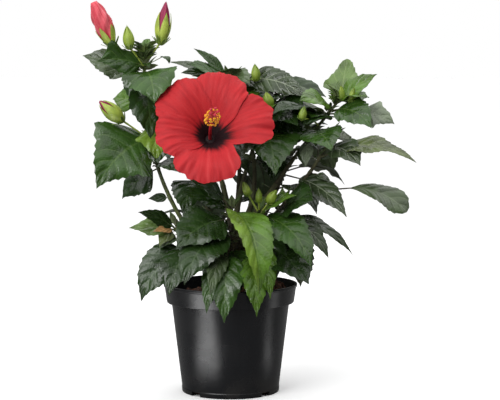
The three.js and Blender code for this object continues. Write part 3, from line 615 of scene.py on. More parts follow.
            budAt(0.99, (12, 82, 296), (13, 86, 320), 5.6, "tipped"),
        ],
    ),
    "backRight": dict(
        foot=122, elbow=(42, 38, 188), tip=(66, 60, 258), cut=0.4, radius=3.8, fill=12, turn=110,
        leaves=[],
        redrawn={0: dict(tip=(68, 34, 129))},
        buds=[
            budAt(0.99, (72, 62, 266), (74, 64, 282), 3.9, "green"),
        ],
    ),
    "lowBackLeft": dict(
        foot=116, elbow=(-14, 22, 144), tip=(-28, 44, 164), cut=0.42, radius=3.2, fill=8, turn=-170,
        leaves=[], buds=[],
    ),
    "lowBackRight": dict(
        foot=120, elbow=(16, 26, 146), tip=(30, 50, 166), cut=0.42, radius=3.2, fill=8, turn=130,
        leaves=[], buds=[],
    ),
}
rule = dict(spiral=137.5, first=0.08, last=0.965, rise=(-6, 44), sag=(78, 66), stalk=(24, 9),
            length=(72, 46), breadth=0.6, vary=dict(heading=30, rise=16, length=0.2, roll=36))
tuft = dict(leaves=3, at=0.97, rise=64, sag=24, stalk=6, length=16, width=7, spiral=120)
swerves = [(0, 0), (9, 5), (-9, 5), (9, -9), (-9, -9), (20, 9), (-20, 9), (24, -14), (-24, -14), (38, 0),
           (-38, 0), (0, 30), (50, 20), (-50, 20), (60, -20), (-60, -20)]

trunkCurve = bend(Vector((0, 0, soil["top"] + 0.3)),
                  Vector((trunk["lean"][0] / 3, trunk["lean"][1] / 3, lerp(soil["top"], trunk["top"], 0.5))),
                  Vector((*trunk["lean"], trunk["top"])))


def shootCurve(foot, elbow, tip):
    share = (foot - soil["top"]) / (trunk["top"] - soil["top"])
    return bend(placeOn(trunkCurve, min(share, 0.97)), Vector(elbow), Vector(tip))


curves = {name: shootCurve(shoot["foot"], shoot["elbow"], shoot["tip"]) for name, shoot in shoots.items()}


def leafTo(leaf, root):  # the course, first slope and length of a leaf that ends at its tip
    reach = Vector(leaf["tip"]) - root
    stalk, half = leaf["stalk"], radians(leaf["sag"]) / 2
    chord = sqrt(reach.length_squared - (stalk * sin(half)) ** 2) - stalk * cos(half)
    lead = atan2(chord * sin(half), stalk + chord * cos(half))
    rise = degrees(atan2(reach.z, hypot(reach.x, reach.y)) + lead)
    heading = degrees(atan2(reach.x, -reach.y))
    return {**leaf, "heading": heading, "rise": rise, "length": chord * half / sin(half)}


def leafFrame(leaf, root):  # the blade's place and directions at a share of its length
    r0, drop, tilt = (radians(leaf[key]) for key in ("rise", "sag", "roll"))
    start = root + aim(leaf["heading"], leaf["rise"]) * leaf["stalk"]
    level = aim(leaf["heading"], 0)
    side = level.cross(up)

    def frameAt(along):
        r = r0 - drop * along
        forward = leaf["length"] * (sin(r0) - sin(r)) / drop
        rise = leaf["length"] * (cos(r) - cos(r0)) / drop
        course = aim(leaf["heading"], degrees(r))
        normal = side.cross(course)
        return (start + level * forward + up * rise, course,
                side * cos(tilt) + normal * sin(tilt), normal * cos(tilt) - side * sin(tilt))

    return frameAt


def ruleLeaf(shoot, number, seed):  # the leaf of a number by the growth rule
    share = (number + 0.5) / shoot["fill"]
    vary = [chance(seed + k) - 0.5 for k in range(4)]
    spread = rule["vary"]
    length = lerp(*rule["length"], share) * (1 + spread["length"] * vary[2])
    return dict(
        at=lerp(shoot["cut"] + rule["first"], rule["last"], share),
        heading=shoot["turn"] + rule["spiral"] * number + spread["heading"] * vary[0],
        rise=lerp(*rule["rise"], share) + spread["rise"] * vary[1],
        sag=lerp(*rule["sag"], share), stalk=lerp(*rule["stalk"], share),
        roll=spread["roll"] * vary[3], length=length, width=length * rule["breadth"],
        tint=("deep", "deep", "mid", "sagePaintedSheen", "mid", "deep")[int(6 * chance(seed + 4))])


def grownLeaves(name, order):
    # every leaf of a mass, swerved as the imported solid's is: its tip is then a corner of that solid
    shoot, curve = shoots[name], curves[name]
    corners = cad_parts["leaves_" + name].data.vertices
    tips = kdtree.KDTree(len(corners))
    for number, corner in enumerate(corners):
        tips.insert(corner.co / mm, number)
    tips.balance()
    wanted = list(shoot["leaves"])
    for n in range(shoot["fill"]):
        wanted.append(ruleLeaf(shoot, n, 100 * (order + 1) + 10 * n))
        if n in shoot.get("redrawn", {}):
            wanted[-1]["drawn"] = shoot["redrawn"][n]
    wanted += [{**tuft, "heading": shoot["turn"] + tuft["spiral"] * n, "roll": 0, "tint": "fresh"}
               for n in range(tuft["leaves"])]
    grown = []
    for number, leaf in enumerate(wanted):
        root = placeOn(curve, leaf["at"])
        aimed = leafTo(leaf, root) if "tip" in leaf else leaf
        for turn, lift in swerves:
            tried = {**aimed, "heading": aimed["heading"] + turn, "rise": aimed["rise"] + lift}
            frameAt = leafFrame(tried, root)
            if tips.find(frameAt(1)[0])[2] < 0.05:
                if "drawn" in leaf:  # drawn a little off the solid's place
                    tried = {**leaf, **leaf["drawn"]}
                    root = placeOn(curve, tried["at"])
                    tried = leafTo(tried, root)
                    frameAt = leafFrame(tried, root)
                grown.append((tried, root, frameAt, 50 * (order + 1) + 3.7 * number))
                break
        else:
            print("  no room for leaf", number, "of", name)
    for number, leaf in enumerate(shoot.get("more", [])):
        root = placeOn(curve, leaf["at"])
        aimed = leafTo(leaf, root)
        grown.append((aimed, root, leafFrame(aimed, root), 50 * (order + 1) + 31 + 2.3 * number))
    return grown


sprig = dict(share=0.6, leaves=3, length=(8, 17), breadth=0.42, rise=(26, 62), sag=46, stalk=3.4,
             least=30, turn=70, tints=("mid", "fresh", "olive"))
rosette = dict(leaves=32, length=(11, 30), breadth=0.4, rise=(46, 94), sag=(30, 84), stalk=2,
               fold=0.6)

rosettes = dict(
    left=dict(tint="mid", at=1, size=1), right=dict(tint="bright", at=0.95, size=0.6),
    back=dict(tint="mid", at=1, size=0.8), backRight=dict(tint="mid", at=1, size=0.8))


def finerLeaves(name, grown):
    # what the solids leave out: a sprig in the axil of some leaves, and a rosette of young leaves
    finer = []

    def add(made, root, seed, **leaf):
        leaf.update(stalk=made["stalk"], width=leaf["length"] * made["breadth"])
        finer.append((leaf, root, leafFrame(leaf, root), seed))

    for leaf, root, frameAt, seed in grown:
        if leaf["length"] < sprig["least"] or chance(seed + 8) > sprig["share"]:
            continue
        for number in range(sprig["leaves"]):
            add(sprig, root, seed + 21 * number,
                heading=leaf["heading"] + sprig["turn"] * (number - 1) + 30 * chance(seed + number),
                rise=lerp(*sprig["rise"], chance(seed + 12 + number)), sag=sprig["sag"],
                roll=30 * (number - 1), length=lerp(*sprig["length"], chance(seed + 9 + number)),
                tint=sprig["tints"][number])
    if name in rosettes:
        own = rosettes[name]
        for number in range(rosette["leaves"]):
            share = number / (rosette["leaves"] - 1)
            length = own["size"] * lerp(*rosette["length"], share) * (0.85 + 0.3 * chance(50 + number))
            add(rosette, placeOn(curves[name], own["at"]), 300 + 7 * number,
                heading=rule["spiral"] * number, rise=lerp(*rosette["rise"], share),
                sag=lerp(*rosette["sag"], share), roll=60 * (chance(90 + number) - 0.5), length=length,
                fold=rosette["fold"], tint=own["tint"] if number % 3 else "bright")
    return finer


# wood

def barkMatter(name, young, old, low, high):
    # bark from an old brown below to young green above, with pale pores and fine furrows
    material, tree, shader, where = newMaterial(name)
    here = where.outputs["Object"]
    spots = mottled(tree, here, 140.0, 1500.0)
    pores = wire(tree, "TexVoronoi", {"Vector": here, "Scale": 520.0})
    parts = wire(tree, "SeparateXYZ", {0: here})
    age = ramp(tree, parts.outputs[2], low * mm, high * mm, 0.0, 1.0)
    plain = mixed(tree, age, srgb(*old), srgb(*young))
    worn = mixed(tree, maths(tree, "MULTIPLY", spots.outputs["Cloud"], 0.55), plain, srgb(52, 42, 32))
    specks = ramp(tree, pores.outputs[0], 0.12, 0.2, 0.5, 0.0)
    tree.links.new(mixed(tree, specks, worn, srgb(150, 138, 110)), shader.inputs["Base Color"])
    roughen(tree, shader, spots.outputs["Cloud"], 0.5, 0.75)
    relief(tree, shader, maths(tree, "ADD", spots.outputs["Grain"], specks), 0.25)
    return material


def taper(start, end):
    return lambda t: lerp(start, end, t)


def barkRadius(radiusAt, length, seed, nodes=()):
    # a limb's radius with shallow furrows, and a swelling at each node that bears a leaf
    def radius(t, angle):
        rough = noise.noise(Vector((cos(angle) * 2.2, sin(angle) * 2.2, t * length / 9 + seed)))
        fine = noise.noise(Vector((cos(angle) * 5, sin(angle) * 5, t * length / 2.5 + seed)))
        knots = sum(limb["node"] * max(0, 1 - abs(t - at) * length / 3.2) ** 2 for at in nodes)
        return radiusAt(t) * (1 + limb["ridge"] * (rough * 1.6 + fine * 0.7) + knots)
    return radius


def makeWood(bark):
    bm = bmesh.new()
    length = trunk["top"] - soil["top"]

    def trunkRadius(t):
        flared = max(0, 1 - t * length / trunk["flare"]) ** 2
        plain = lerp(trunk["waistRadius"], trunk["tipRadius"], t)
        return plain + (trunk["footRadius"] - trunk["waistRadius"]) * flared

    addLimb(bm, trunkCurve, barkRadius(trunkRadius, length, 3), 32, 40)
    newPiece("trunkBark", bm, [bark], ["trunk"], sharp=60)
    for order, (name, shoot) in enumerate(shoots.items()):
        bm = bmesh.new()
        cut, curve = shoot["cut"], curves[name]
        length = (placeOn(curve, cut) - curve[0]).length
        plain = taper(shoot["radius"], limb["tipRadius"])
        addLimb(bm, curve, barkRadius(plain, length, 5 + order, limb["nodes"]), limb["sides"], 30,
                span=(0, cut))
        newPiece("bark_" + name, bm, [bark], ["bough_" + name], sharp=60)
    print("wood", len(shoots), "boughs")


# leaves

blade = dict(
    thickness=0.35, fold=0.22, droop=0.16, belly=0.62, rowsPerVein=5, veinSpacing=11, climb=1.5,
    quilt=0.36, teeth=0.04, wave=0.1, twist=22, rib=0.55, point=0.3, small=24)
tints = dict(  # top of the blade, its veins, the underside, and how strongly the veins show
    deep=((38, 64, 21), (88, 114, 60), (92, 112, 76), 0.28),
    mid=((54, 88, 27), (114, 142, 72), (112, 132, 82), 0.28),
    # the next tint: a paler, greyer face, partly the leaf's own green and partly a painted sheen
    sagePaintedSheen=((76, 94, 58), (142, 154, 124), (136, 146, 118), 0.4),
    # the next tint: pale stripes along the veins over a dark face, partly real veins and partly a painted
    # reflection off the quilted blade
    veinedPaintedSheen=((60, 76, 46), (158, 168, 142), (132, 142, 116), 0.6),
    silver=((132, 146, 118), (160, 172, 142), (150, 160, 130), 0.4),
    olive=((92, 106, 58), (150, 160, 104), (142, 152, 112), 0.3),
    fresh=((104, 132, 66), (158, 176, 112), (150, 168, 112), 0.3),
    bright=((88, 126, 36), (148, 176, 88), (134, 158, 84), 0.28),
    lime=((122, 156, 52), (176, 196, 100), (150, 176, 84), 0.28),
    withered=((216, 168, 108), (150, 100, 60), (200, 168, 120), 0.4),
)


def leafMatter(name, face, vein, veining, shine, depth):
    # a mottled blade with paler veins; depth is how far the veins lie under the face
    material, tree, shader, where = newMaterial(name)
    here = where.outputs["Object"]
    spots = mottled(tree, here, 55.0, 1100.0)
    net = wire(tree, "Group", {"Blade": where.outputs["UV"], "Climb": blade["climb"]}, node_tree=veins)
    dark = tuple(0.72 * c for c in face)
    plain = mixed(tree, spots.outputs["Cloud"], srgb(*dark), srgb(*face))
    share = maths(tree, "MULTIPLY", net.outputs["Veins"], veining)
    tree.links.new(mixed(tree, share, plain, srgb(*vein)), shader.inputs["Base Color"])
    roughen(tree, shader, spots.outputs["Cloud"], shine, shine + 0.12)
    cells = wire(tree, "TexVoronoi", {"Vector": here, "Scale": 520.0}, feature="SMOOTH_F1")
    relief(tree, shader, maths(tree, "MULTIPLY_ADD", net.outputs["Quilt"], 1.2, cells.outputs[0]), depth)
    return material


def outlineAt(along, belly):
    return sin(pi * along ** belly)


def addBlade(bm, leaf, frameAt, seed, tintNames):
    length, width = leaf["length"], leaf["width"]
    small = length < blade["small"]
    veinCount = 3 if small else max(4, min(8, round(length / blade["veinSpacing"])))
    rows = veinCount * (3 if small else blade["rowsPerVein"])
    columns = 4 if small else 10
    belly = leaf.get("belly", blade["belly"])
    wave = blade["wave"] * (0.5 + chance(seed)) * (0.4 if small else 1)
    phase, waves = chance(seed + 1), 1.4 + 1.2 * chance(seed + 2)
    twist = radians(blade["twist"]) * 2 * (chance(seed + 5) - 0.5)
    fold = leaf.get("fold", blade["fold"])
    quilt = blade["quilt"] * min(1, length / 60)

    def placeAt(x, along):
        edge = abs(x)
        half = width / 2 * outlineAt(along, belly) ** leaf.get("blunt", 1)
        half *= 1 - (0 if "blunt" in leaf else blade["point"]) * smoothStep(0.7, 0.98, along)
        if "lobe" in leaf:
            size, at, span, side = leaf["lobe"]
            if side == 0 or side * x > 0:
                half *= 1 + size * (exp(-((along - at) / span) ** 2) - 0.3)
        toothed = smoothStep(0.18, 0.35, along) * (1 - smoothStep(0.94, 1, along))
        tooth = (-1, 0, 1)[round(along * rows) % 3] * toothed * smoothStep(0.8, 1, edge)
        place, course, level, raised = frameAt(along)
        side = level * cos(twist * along) + raised * sin(twist * along)
        normal = raised * cos(twist * along) - level * sin(twist * along)
        bulge = 0.5 - 0.5 * cos(2 * pi * (along * veinCount - blade["climb"] * edge))
        inner = smoothStep(0, 0.3, edge) * (1 - 0.5 * smoothStep(0.7, 1, edge))
        turn = 2 * pi * (waves * along + phase + (0.4 if x > 0 else 0))
        lift = half * edge * fold - half * blade["droop"] * edge ** 3
        lift += quilt * bulge * inner * smoothStep(0, 0.1, along) * (1 - smoothStep(0.85, 1, along))
        lift += wave * half * sin(turn) * edge ** 2.5
        return (place + side * (x * half * (1 + blade["teeth"] * tooth)) + normal * lift
                + course * (0.012 * length * max(0, tooth)))

    face = tintNames.index(leaf["tint"])

    def patchAt(x, along):  # a paler strip along one edge
        return tintNames.index(leaf["margin"]) if "margin" in leaf and x > 0.3 else None

    addSheet(bm, columns, rows, placeAt, blade["thickness"], (face, face + len(tintNames)),
             lambda x, along: (x, along * veinCount), patchAt)


def addStalk(bm, leaf, root, frameAt):  # the stalk, which runs on as the blade's midrib
    reach = leaf["stalk"] + leaf["length"] * 0.9
    turnAt = leaf["stalk"] / reach

    def placeAt(t):
        if t < turnAt:
            return root.lerp(frameAt(0)[0], t / turnAt)
        place, course, side, normal = frameAt((t - turnAt) / (1 - turnAt) * 0.9)
        return place - normal * blade["rib"] * smoothStep(turnAt, turnAt + 0.1, t)

    def radiusAt(t, angle):
        thick = 0.95 if leaf["length"] > blade["small"] else 0.5
        if t < turnAt:
            return lerp(thick, 0.8 * thick, t / turnAt)
        return lerp(0.75 * thick, 0.12, (t - turnAt) / (1 - turnAt))

    addTube(bm, placeAt, radiusAt, 6, 20)


def makeLeaves():
    tintNames = list(tints)
    tops = [leafMatter("leaf_" + key, face, vein, veining, 0.22, 0.3)
            for key, (face, vein, under, veining) in tints.items()]
    unders = [leafMatter("under_" + key, under, vein, veining, 0.5, -0.2)
              for key, (face, vein, under, veining) in tints.items()]
    greenStem = barkMatter("greenStem", (104, 122, 58), (92, 98, 56), 100, 260)
    brownStem = barkMatter("brownStem", (88, 96, 52), (74, 64, 44), 150, 300)
    total = 0
    for order, (name, shoot) in enumerate(shoots.items()):
        blades, twigs = bmesh.new(), bmesh.new()
        grown = grownLeaves(name, order)
        total += len(grown)
        for leaf, root, frameAt, seed in grown + finerLeaves(name, grown):
            addBlade(blades, leaf, frameAt, seed, tintNames)
            addStalk(twigs, leaf, root, frameAt)
        curve, cut = curves[name], shoot["cut"]
        length = (placeOn(curve, 1) - placeOn(curve, cut)).length
        nodes = [(leaf["at"] - cut) / (1 - cut) for leaf, *rest in grown]
        plain = taper(limb["tipRadius"], stem["tipRadius"])
        addLimb(twigs, curve, barkRadius(plain, length, 40 + order, nodes), stem["sides"], 60,
                span=(cut, 1))
        node = "leaves_" + name
        newPiece("blades_" + name, blades, tops + unders, [node], sharp=55)
        bark = greenStem if name in ("left", "lowLeft") else brownStem
        newPiece("twigs_" + name, twigs, [bark], [node], sharp=60)
        addBuds(name, order, node)
    print("leaves", total)


# buds

bud = dict(sepals=5, shell=0.4, bracts=7, bractLength=0.2, bractWidth=2.6, segments=36, rings=26)
budKinds = dict(  # how far the sepals cover it and how long they stay closed, its twist and its colours
    coral=dict(slim=0.84, swell=0.92, cover=0.44, closed=1.8, twist=1.2, pleats=0.13, end=0.9,
               petal="coralPetal", sepal="sepalGreen"),
    tipped=dict(slim=0.9, swell=0.8, cover=0.74, closed=2.6, twist=0.7, pleats=0.02, end=0.97,
                petal="rosePetal", sepal="sepalGreen"),
    pale=dict(slim=0.94, swell=0.8, cover=0.95, closed=4, twist=0.5, pleats=0.02, end=0.97,
              petal="rosePetal", sepal="sepalGreen"),
    green=dict(slim=0.92, swell=0.75, cover=1.0, closed=5, twist=0.3, pleats=0.03, end=1.0,
               petal="budGreen", sepal="budGreen"),
)


def budMaterials():
    return [
        petalMatter("coralPetal", (232, 104, 114), (204, 64, 78), (255, 210, 210), 14.0),
        petalMatter("rosePetal", (168, 58, 92), (122, 34, 64), (214, 140, 164), 16.0),
        plainMatter("budGreen", (150, 172, 64), (116, 142, 46), 0.42, cloud=120.0, depth=0.12),
        plainMatter("sepalGreen", (184, 202, 84), (146, 168, 64), 0.42, cloud=110.0, depth=0.15),
        plainMatter("bractGreen", (132, 156, 64), (92, 120, 46), 0.45, cloud=110.0, depth=0.12),
    ]


def addBud(bm, made, curve, seed):
    kind = budKinds[made["kind"]]
    colours = ["coralPetal", "rosePetal", "budGreen", "sepalGreen", "bractGreen"]
    foot, tip = Vector(made["foot"]), Vector(made["tip"])
    length = (tip - foot).length
    axis = (tip - foot).normalized()
    across = axis.cross(Vector((0, 1, 0))).normalized()
    third = axis.cross(across)
    size = made["radius"] * kind["slim"]

    def around(angle, radius, along):
        return foot + axis * along * length + (across * cos(angle) + third * sin(angle)) * radius

    def radiusAt(along):  # an end below 1 cuts the tip off bluntly
        full = sin(pi * (min(1, along) * kind["end"]) ** kind["swell"])
        blunt = sqrt(max(0, 1 - (max(0, along - 0.93) / 0.07) ** 2))
        return size * max(0, full) ** 0.85 * blunt

    def rolled(angle, along):  # petals rolled round each other
        turn = angle - kind["twist"] * pi * along
        pleat = cos(5 * turn) ** 3 + 0.4 * noise.noise(Vector((cos(turn) * 3, sin(turn) * 3, along * 3)))
        fray = 0.94 + 0.03 * sin(3 * angle + 9 * chance(seed)) * smoothStep(0.8, 1, along)
        return around(angle, radiusAt(along) * 0.9 * (1 + kind["pleats"] * pleat), along * fray)

    addBall(bm, rolled, bud["segments"], bud["rings"], colours.index(kind["petal"]), mapped=True)
    for number in range(bud["sepals"]):
        middle = 2 * pi * (number + chance(seed + 3)) / bud["sepals"]
        reach = kind["cover"] * (0.94 + 0.12 * chance(seed + number))

        def sepalAt(x, along):
            share = along * reach
            wide = (pi / 5) * 1.06 * (1 - along ** kind["closed"])
            ridge = 0.3 * (1 - abs(x)) * sin(pi * along) + (0.35 if reach < 0.9 else 0) * along ** 4
            radius = radiusAt(max(0.015, share)) + bud["shell"] + ridge
            return around(middle + x * wide, radius, share - 0.02)

        addSheet(bm, 8, 16, sepalAt, bud["shell"], (colours.index(kind["sepal"]),) * 2)
    wide = bud["bractWidth"] * (0.5 + made["radius"] / 16)
    for number in range(bud["bracts"]):
        turn = 2 * pi * (number + 0.5 * chance(seed + 20)) / bud["bracts"]
        long = bud["bractLength"] * (0.8 + 0.4 * chance(seed + 21 + number))

        def bractAt(x, along):
            share = along * long
            out = 1.2 + radiusAt(share) + 0.06 * length * along ** 2
            half = wide / 2 * sin(pi * (0.08 + 0.92 * along)) ** 0.7
            return around(turn + x * half / out, out + 0.4 * x * x, share - 0.03)

        addSheet(bm, 4, 8, bractAt, 0.3, (colours.index("bractGreen"),) * 2)
    root = placeOn(curve, made["at"])
    middle = (root + foot) / 2 + axis * 0.08 * (foot - root).length

    def stalkRadius(t, angle):  # it widens under the bud
        return lerp(0.85, 1.2, t ** 6) + 4 * max(0, t - 0.9)

    addLimb(bm, bend(root, middle, foot + axis * 0.04 * length), stalkRadius, 8, 14,
            colours.index("sepalGreen"))


def addBuds(name, order, node):
    buds = shoots[name]["buds"]
    if not buds:
        return
    bm = bmesh.new()
    for number, made in enumerate(buds):
        addBud(bm, made, curves[name], 600 + 40 * order + 7 * number)
    newPiece("buds_" + name, bm, budColours, [node], sharp=50)


# the open bloom

bloom = dict(
    throat=(-19, -38, 252), heading=0, rise=29, depth=34, roll=7, lap=1.2, clawRadius=3.4,
    petals=[dict(turn=13, reach=60, spread=39, eye=1.3), dict(turn=80, reach=62, spread=36, eye=0.9),
            dict(turn=183, reach=58, spread=47, eye=0.82), dict(turn=257, reach=52, spread=36, eye=1.2),
            dict(turn=315, reach=60, spread=37, eye=1.3)],
    overlap=14, corner=0.14, thickness=0.5, pleats=0.06, ruffle=1.5, scallop=0.05, columns=64, rows=40)
column = dict(length=68, footRadius=1.7, tipRadius=1.1, anthersFrom=0.62, filament=5.6, anthers=54,
              anther=0.92, course=140, lean=8, stigmas=5, stigmaReach=3.6, stigmaRise=4, pad=1.5)
calyx = dict(back=17, radius=6.6, footRadius=3, sepals=5, bracts=8, sepalWidth=10, root=9, front=6, lean=6,
             stalkRadius=1.6, stalkBend=14, bractOut=7, bractRise=10, bractWidth=2.2)
bloomBough = dict(foot=150, elbow=(-4, -10, 192), tip=(-12, -8, 222), radius=3.2)
bloomAxis = aim(bloom["heading"], bloom["rise"])
bloomRight = aim(bloom["heading"] + 90, 0)
bloomUp = bloomAxis.cross(bloomRight)


def roundBloom(turn, radius, forward):  # turn clockwise from the top, seen from the front
    return (Vector(bloom["throat"]) + bloomAxis * forward
            + bloomUp * (cos(turn) * radius) + bloomRight * (sin(turn) * radius))


def petalMatter(name, middle, dark, light, streaks, eye=None):
    # a petal: streaks that run out along it, and a dark eye at its root where one is named
    material, tree, shader, where = newMaterial(name, **{"Specular IOR Level": 0.28})
    spots = mottled(tree, where.outputs["Object"], 70.0, 1800.0)
    drawn = wire(tree, "Mapping", {"Vector": where.outputs["UV"], "Scale": (streaks, 0.9, 1)})
    rays = wire(tree, "TexNoise", {"Vector": drawn.outputs[0], "Scale": 1.0, "Detail": 3.0})
    shade = ramp(tree, rays.outputs[0], 0.35, 0.6, 0.0, 1.0)
    plain = mixed(tree, shade, srgb(*dark), srgb(*middle))
    thin = ramp(tree, rays.outputs[0], 0.6, 0.75, 0.0, 0.5)
    colour = mixed(tree, thin, plain, srgb(*light))
    if eye:
        parts = wire(tree, "SeparateXYZ", {0: where.outputs["UV"]})
        reach = maths(tree, "MULTIPLY_ADD", rays.outputs[0], 0.26, parts.outputs[1])
        colour = mixed(tree, ramp(tree, reach, 0.34, 0.52, 1.0, 0.0), colour, srgb(*eye))
    tree.links.new(colour, shader.inputs["Base Color"])
    roughen(tree, shader, spots.outputs["Cloud"], 0.5, 0.64)
    relief(tree, shader, maths(tree, "MULTIPLY_ADD", rays.outputs[0], 3.0, spots.outputs["Grain"]), 0.12)
    return material


def makePetals():
    front = petalMatter("petalRed", (190, 34, 40), (175, 26, 34), (204, 62, 64), 6.0, eye=(26, 3, 8))
    bm = bmesh.new()
    for number, petal in enumerate(bloom["petals"]):
        seed = 900 + 11 * number

        def outAt(x, along):  # the rim draws in towards its rounded corners
            return along * (1 - bloom["corner"] * abs(x) ** 3)

        def placeAt(x, along):
            out = outAt(x, along)
            spot = x * (1 - bloom["corner"] * along ** 6)
            spread = petal["spread"] + bloom["overlap"] * (1 - smoothStep(0.35, 0.7, out))
            turn = radians(petal["turn"] + spot * spread)
            wavy = noise.noise(Vector((turn * 6, seed, 0))) + 0.5 * noise.noise(Vector((turn * 17, seed, 0)))
            radius = lerp(bloom["clawRadius"], petal["reach"], out ** 1.1)
            radius *= 1 + bloom["scallop"] * wavy * smoothStep(0.5, 1, along)
            forward = 1 + bloom["depth"] * (1 - (1 - out) ** 2) - bloom["roll"] * out ** 4
            ruffle = bloom["ruffle"] * smoothStep(0.4, 1, along)
            ripple = Vector((cos(turn), sin(turn), 0))  # one for all the petals, so they lie close
            forward += 2 * ruffle * noise.noise(ripple * 4 + up * (1.5 * out + 3))
            forward += 0.8 * ruffle * noise.noise(ripple * 13 + up * (3 * out + 7))
            forward += bloom["pleats"] * cos(turn * 34) * smoothStep(0.1, 0.4, out)
            return roundBloom(turn, radius, forward + spot * bloom["lap"] * out)

        addSheet(bm, bloom["columns"], bloom["rows"], placeAt, bloom["thickness"],
                 uvAt=lambda x, along: (x + 3 * number, outAt(x, along) * petal["eye"]))

    def throatAt(angle, along):  # a knob that closes the middle
        return roundBloom(angle, 5.4 * sin(pi * along), 2.4 - 1.2 * cos(pi * along))

    addBall(bm, throatAt, 32, 12)
    newPiece("petals", bm, [front], ["bloom_petals"], sharp=60)
    print("petals", len(bloom["petals"]))


def makeColumn():
    red = plainMatter("columnRed", (196, 44, 52), (160, 24, 38), 0.5, cloud=200.0)
    pollen = plainMatter("pollen", (252, 196, 44), (240, 150, 26), 0.8, cloud=400.0, depth=0.2)
    stigma = plainMatter("stigma", (206, 40, 66), (168, 20, 44), 0.7, cloud=300.0, depth=0.2)
    bm = bmesh.new()
    length = column["length"]

    def spine(t):  # it leans a little down and to the right
        return roundBloom(radians(column["course"]), column["lean"] * t * t, length * t)

    addTube(bm, spine, lambda t, angle: lerp(column["footRadius"], column["tipRadius"], t), 14, 30, 0)
    for number in range(column["anthers"]):
        seed = 1500 + 5 * number
        share = (number + 0.5) / column["anthers"]
        at = spine(lerp(column["anthersFrom"], 0.97, share))
        turn = radians(137.5 * number)
        long = column["filament"] * (0.75 + 0.5 * chance(seed))
        end = at + (bloomUp * cos(turn) + bloomRight * sin(turn)) * long + bloomAxis * 1.6
        route = bend(at, (at + end) / 2 + bloomAxis * 0.7, end)
        addLimb(bm, route, lambda t, angle: 0.24, 4, 3)
        size = column["anther"] * (0.8 + 0.5 * chance(seed + 1))
        grain = bmesh.ops.create_icosphere(bm, subdivisions=2, radius=size)["verts"]
        for v in grain:  # a kidney with a groove
            v.co.x *= 1.35
            v.co.z += 0.35 * abs(v.co.x) - 0.2 * size
        bmesh.ops.rotate(bm, cent=(0, 0, 0), matrix=Matrix.Rotation(turn, 3, "Y"), verts=grain)
        bmesh.ops.translate(bm, vec=end, verts=grain)
        for face in {f for v in grain for f in v.link_faces}:
            face.material_index = 1
    for number in range(column["stigmas"]):
        turn = 2 * pi * (number + 0.3) / column["stigmas"]
        side = (bloomUp * cos(turn) + bloomRight * sin(turn)) * column["stigmaReach"]
        end = spine(1) + side + bloomAxis * column["stigmaRise"]
        route = bend(spine(0.98), (spine(1) + end) / 2 + bloomAxis, end)
        addLimb(bm, route, lambda t, angle: 0.4, 6, 6)

        def padAt(angle, along):
            out = (bloomUp * cos(angle) + bloomRight * sin(angle)) * column["pad"] * sin(pi * along)
            return end + out - bloomAxis * cos(pi * along) * 0.9

        addBall(bm, padAt, 14, 10, 2)
    newPiece("column", bm, [red, pollen, stigma], ["bloom_column"], sharp=60)
    print("column", column["anthers"], "anthers")


def makeCalyx(bark):
    bm = bmesh.new()
    back, wide = calyx["back"], calyx["radius"]
    route = bend(roundBloom(0, 0, -back), roundBloom(0, 0, -back / 2), roundBloom(0, 0, -0.3))

    def cupRadius(t, angle):
        return lerp(calyx["footRadius"], wide, sin(pi / 2 * t)) * (1 + 0.05 * cos(5 * angle))

    addLimb(bm, route, cupRadius, 40, 16)
    for number in range(calyx["sepals"]):
        middle = 2 * pi * (number + 0.5) / calyx["sepals"]

        def sepalAt(x, along):
            out = lerp(wide - 0.4, wide + calyx["lean"], along)
            half = calyx["sepalWidth"] / 2 * (1 - along ** 2) * (0.75 + 0.25 * along)
            forward = lerp(-calyx["root"], calyx["front"], along)
            return roundBloom(middle + x * half / out, out + 0.6 * x * x, forward)

        addSheet(bm, 8, 14, sepalAt, 0.6)
    for number in range(calyx["bracts"]):
        turn = 2 * pi * (number + 0.2) / calyx["bracts"]

        def bractAt(x, along):
            out = lerp(calyx["footRadius"], wide + calyx["bractOut"], along ** 1.4)
            half = calyx["bractWidth"] / 2
            forward = lerp(-back, -back + calyx["bractRise"], along)
            return roundBloom(turn + x * (1 - along) * half / out, out, forward)

        addSheet(bm, 4, 8, bractAt, 0.4)
    start = placeOn(bloomCurve, 1)
    course = (start - placeOn(bloomCurve, 0.99)).normalized()
    stalk = (start, start + course * calyx["stalkBend"], roundBloom(0, 0, 4 - back))
    addLimb(bm, stalk, lambda t, angle: calyx["stalkRadius"] * (1 + 0.4 * t ** 8), 12, 24)
    newPiece("calyx", bm, [budColours[3]], ["bloom_calyx"], sharp=60)
    bough = bmesh.new()
    length = (start - bloomCurve[0]).length
    plain = taper(bloomBough["radius"], limb["tipRadius"])
    addLimb(bough, bloomCurve, barkRadius(plain, length, 31, (0.4, 0.7)), limb["sides"], 40)
    newPiece("bark_bloom", bough, [bark], ["bough_bloom"], sharp=60)


bloomCurve = shootCurve(bloomBough["foot"], bloomBough["elbow"], bloomBough["tip"])

# the making

makePot()
makeSoil()
bark = barkMatter("bark", (96, 100, 58), (86, 70, 50), 96, 200)
makeWood(bark)
budColours = budMaterials()
makeLeaves()
makePetals()
makeColumn()
makeCalyx(bark)

# floor, light and camera

studio = dict(floor=60, white=0.92, bounce=0.15, sides=0.06, overhead=1.6)
lights = dict(  # place, target, width, height and watts, in metres
    key=((-0.85, -1.15, 0.8), (0, 0, 0.2), 1.0, 1.0, 16),
    fill=((0.7, 1.3, 0.9), (0, 0, 0.2), 1.2, 1.2, 9))
cards = dict(  # reflectors that lie on the floor: their course from the pot, reach, width and watts
    left=(-44, 0.36, 0.14, 0.95), right=(78, 0.36, 0.06, 0.1))
view = dict(eye=(0.0195, -1.58, 0.32), target=(0.0195, 0, 0.191), lens=114.8)


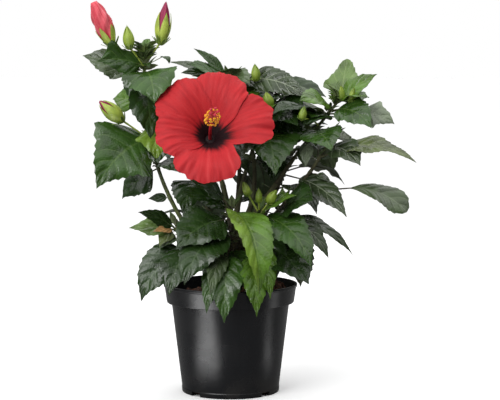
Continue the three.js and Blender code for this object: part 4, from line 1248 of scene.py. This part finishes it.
def floorMatter():
    # a white floor that throws little light back under the leaves
    material, tree, shader, where = newMaterial("paleFloor", Roughness=0.9)
    path = tree.nodes.new("ShaderNodeLightPath")
    white = ramp(tree, path.outputs["Is Camera Ray"], 0.0, 1.0, studio["bounce"], studio["white"])
    tree.links.new(wire(tree, "CombineColor", {0: white, 1: white, 2: white}).outputs[0],
                   shader.inputs["Base Color"])
    return material


def addLamp(name, place, target, width, height, watts):
    lamp = bpy.data.lights.new(name, "AREA")
    lamp.shape = "RECTANGLE"
    lamp.size, lamp.size_y, lamp.energy = width, height, watts
    made = bpy.data.objects.new(name, lamp)
    made.location = place
    made.rotation_euler = (Vector(target) - Vector(place)).to_track_quat("-Z", "Y").to_euler()
    made.visible_camera = False
    scene.collection.objects.link(made)
    return made


def makeStudio():
    bm = bmesh.new()
    bmesh.ops.create_grid(bm, x_segments=8, y_segments=8, size=studio["floor"])
    mesh = bpy.data.meshes.new("floor")
    bm.to_mesh(mesh)
    bm.free()
    floorPiece = bpy.data.objects.new("floor", mesh)
    scene.collection.objects.link(floorPiece)
    mesh.materials.append(floorMatter())
    for name, (place, target, width, height, watts) in lights.items():
        addLamp(name, place, target, width, height, watts).visible_glossy = name == "key"
    for name, (course, reach, width, watts) in cards.items():
        out = aim(course, 0)
        lamp = addLamp(name + "Card", out * (0.13 + reach / 2) + up * 0.004, (0, 0, 5), width, reach, watts)
        lamp.rotation_euler = (pi, 0, radians(course))
        lamp.visible_diffuse = False
    world = bpy.data.worlds.new("studio")
    world.use_nodes = True
    scene.world = world
    tree = world.node_tree
    where = tree.nodes.new("ShaderNodeTexCoord")
    height = wire(tree, "SeparateXYZ", {0: where.outputs["Generated"]}).outputs[2]
    overhead = ramp(tree, height, 0.3, 0.75, studio["sides"], studio["overhead"])
    path = tree.nodes.new("ShaderNodeLightPath")
    strength = maths(tree, "MAXIMUM", path.outputs["Is Camera Ray"], overhead)
    tree.nodes["Background"].inputs[0].default_value = (1, 1, 1, 1)
    tree.links.new(strength, tree.nodes["Background"].inputs[1])
    scene.view_settings.view_transform = "Standard"


def makeCamera():
    made = bpy.data.cameras.new("camera")
    made.lens, made.sensor_width = view["lens"], 36
    eye = bpy.data.objects.new("camera", made)
    eye.location = view["eye"]
    course = Vector(view["target"]) - Vector(view["eye"])
    eye.rotation_euler = course.to_track_quat("-Z", "Y").to_euler()
    scene.collection.objects.link(eye)
    scene.camera = eye


makeStudio()
makeCamera()
print("studio ready")
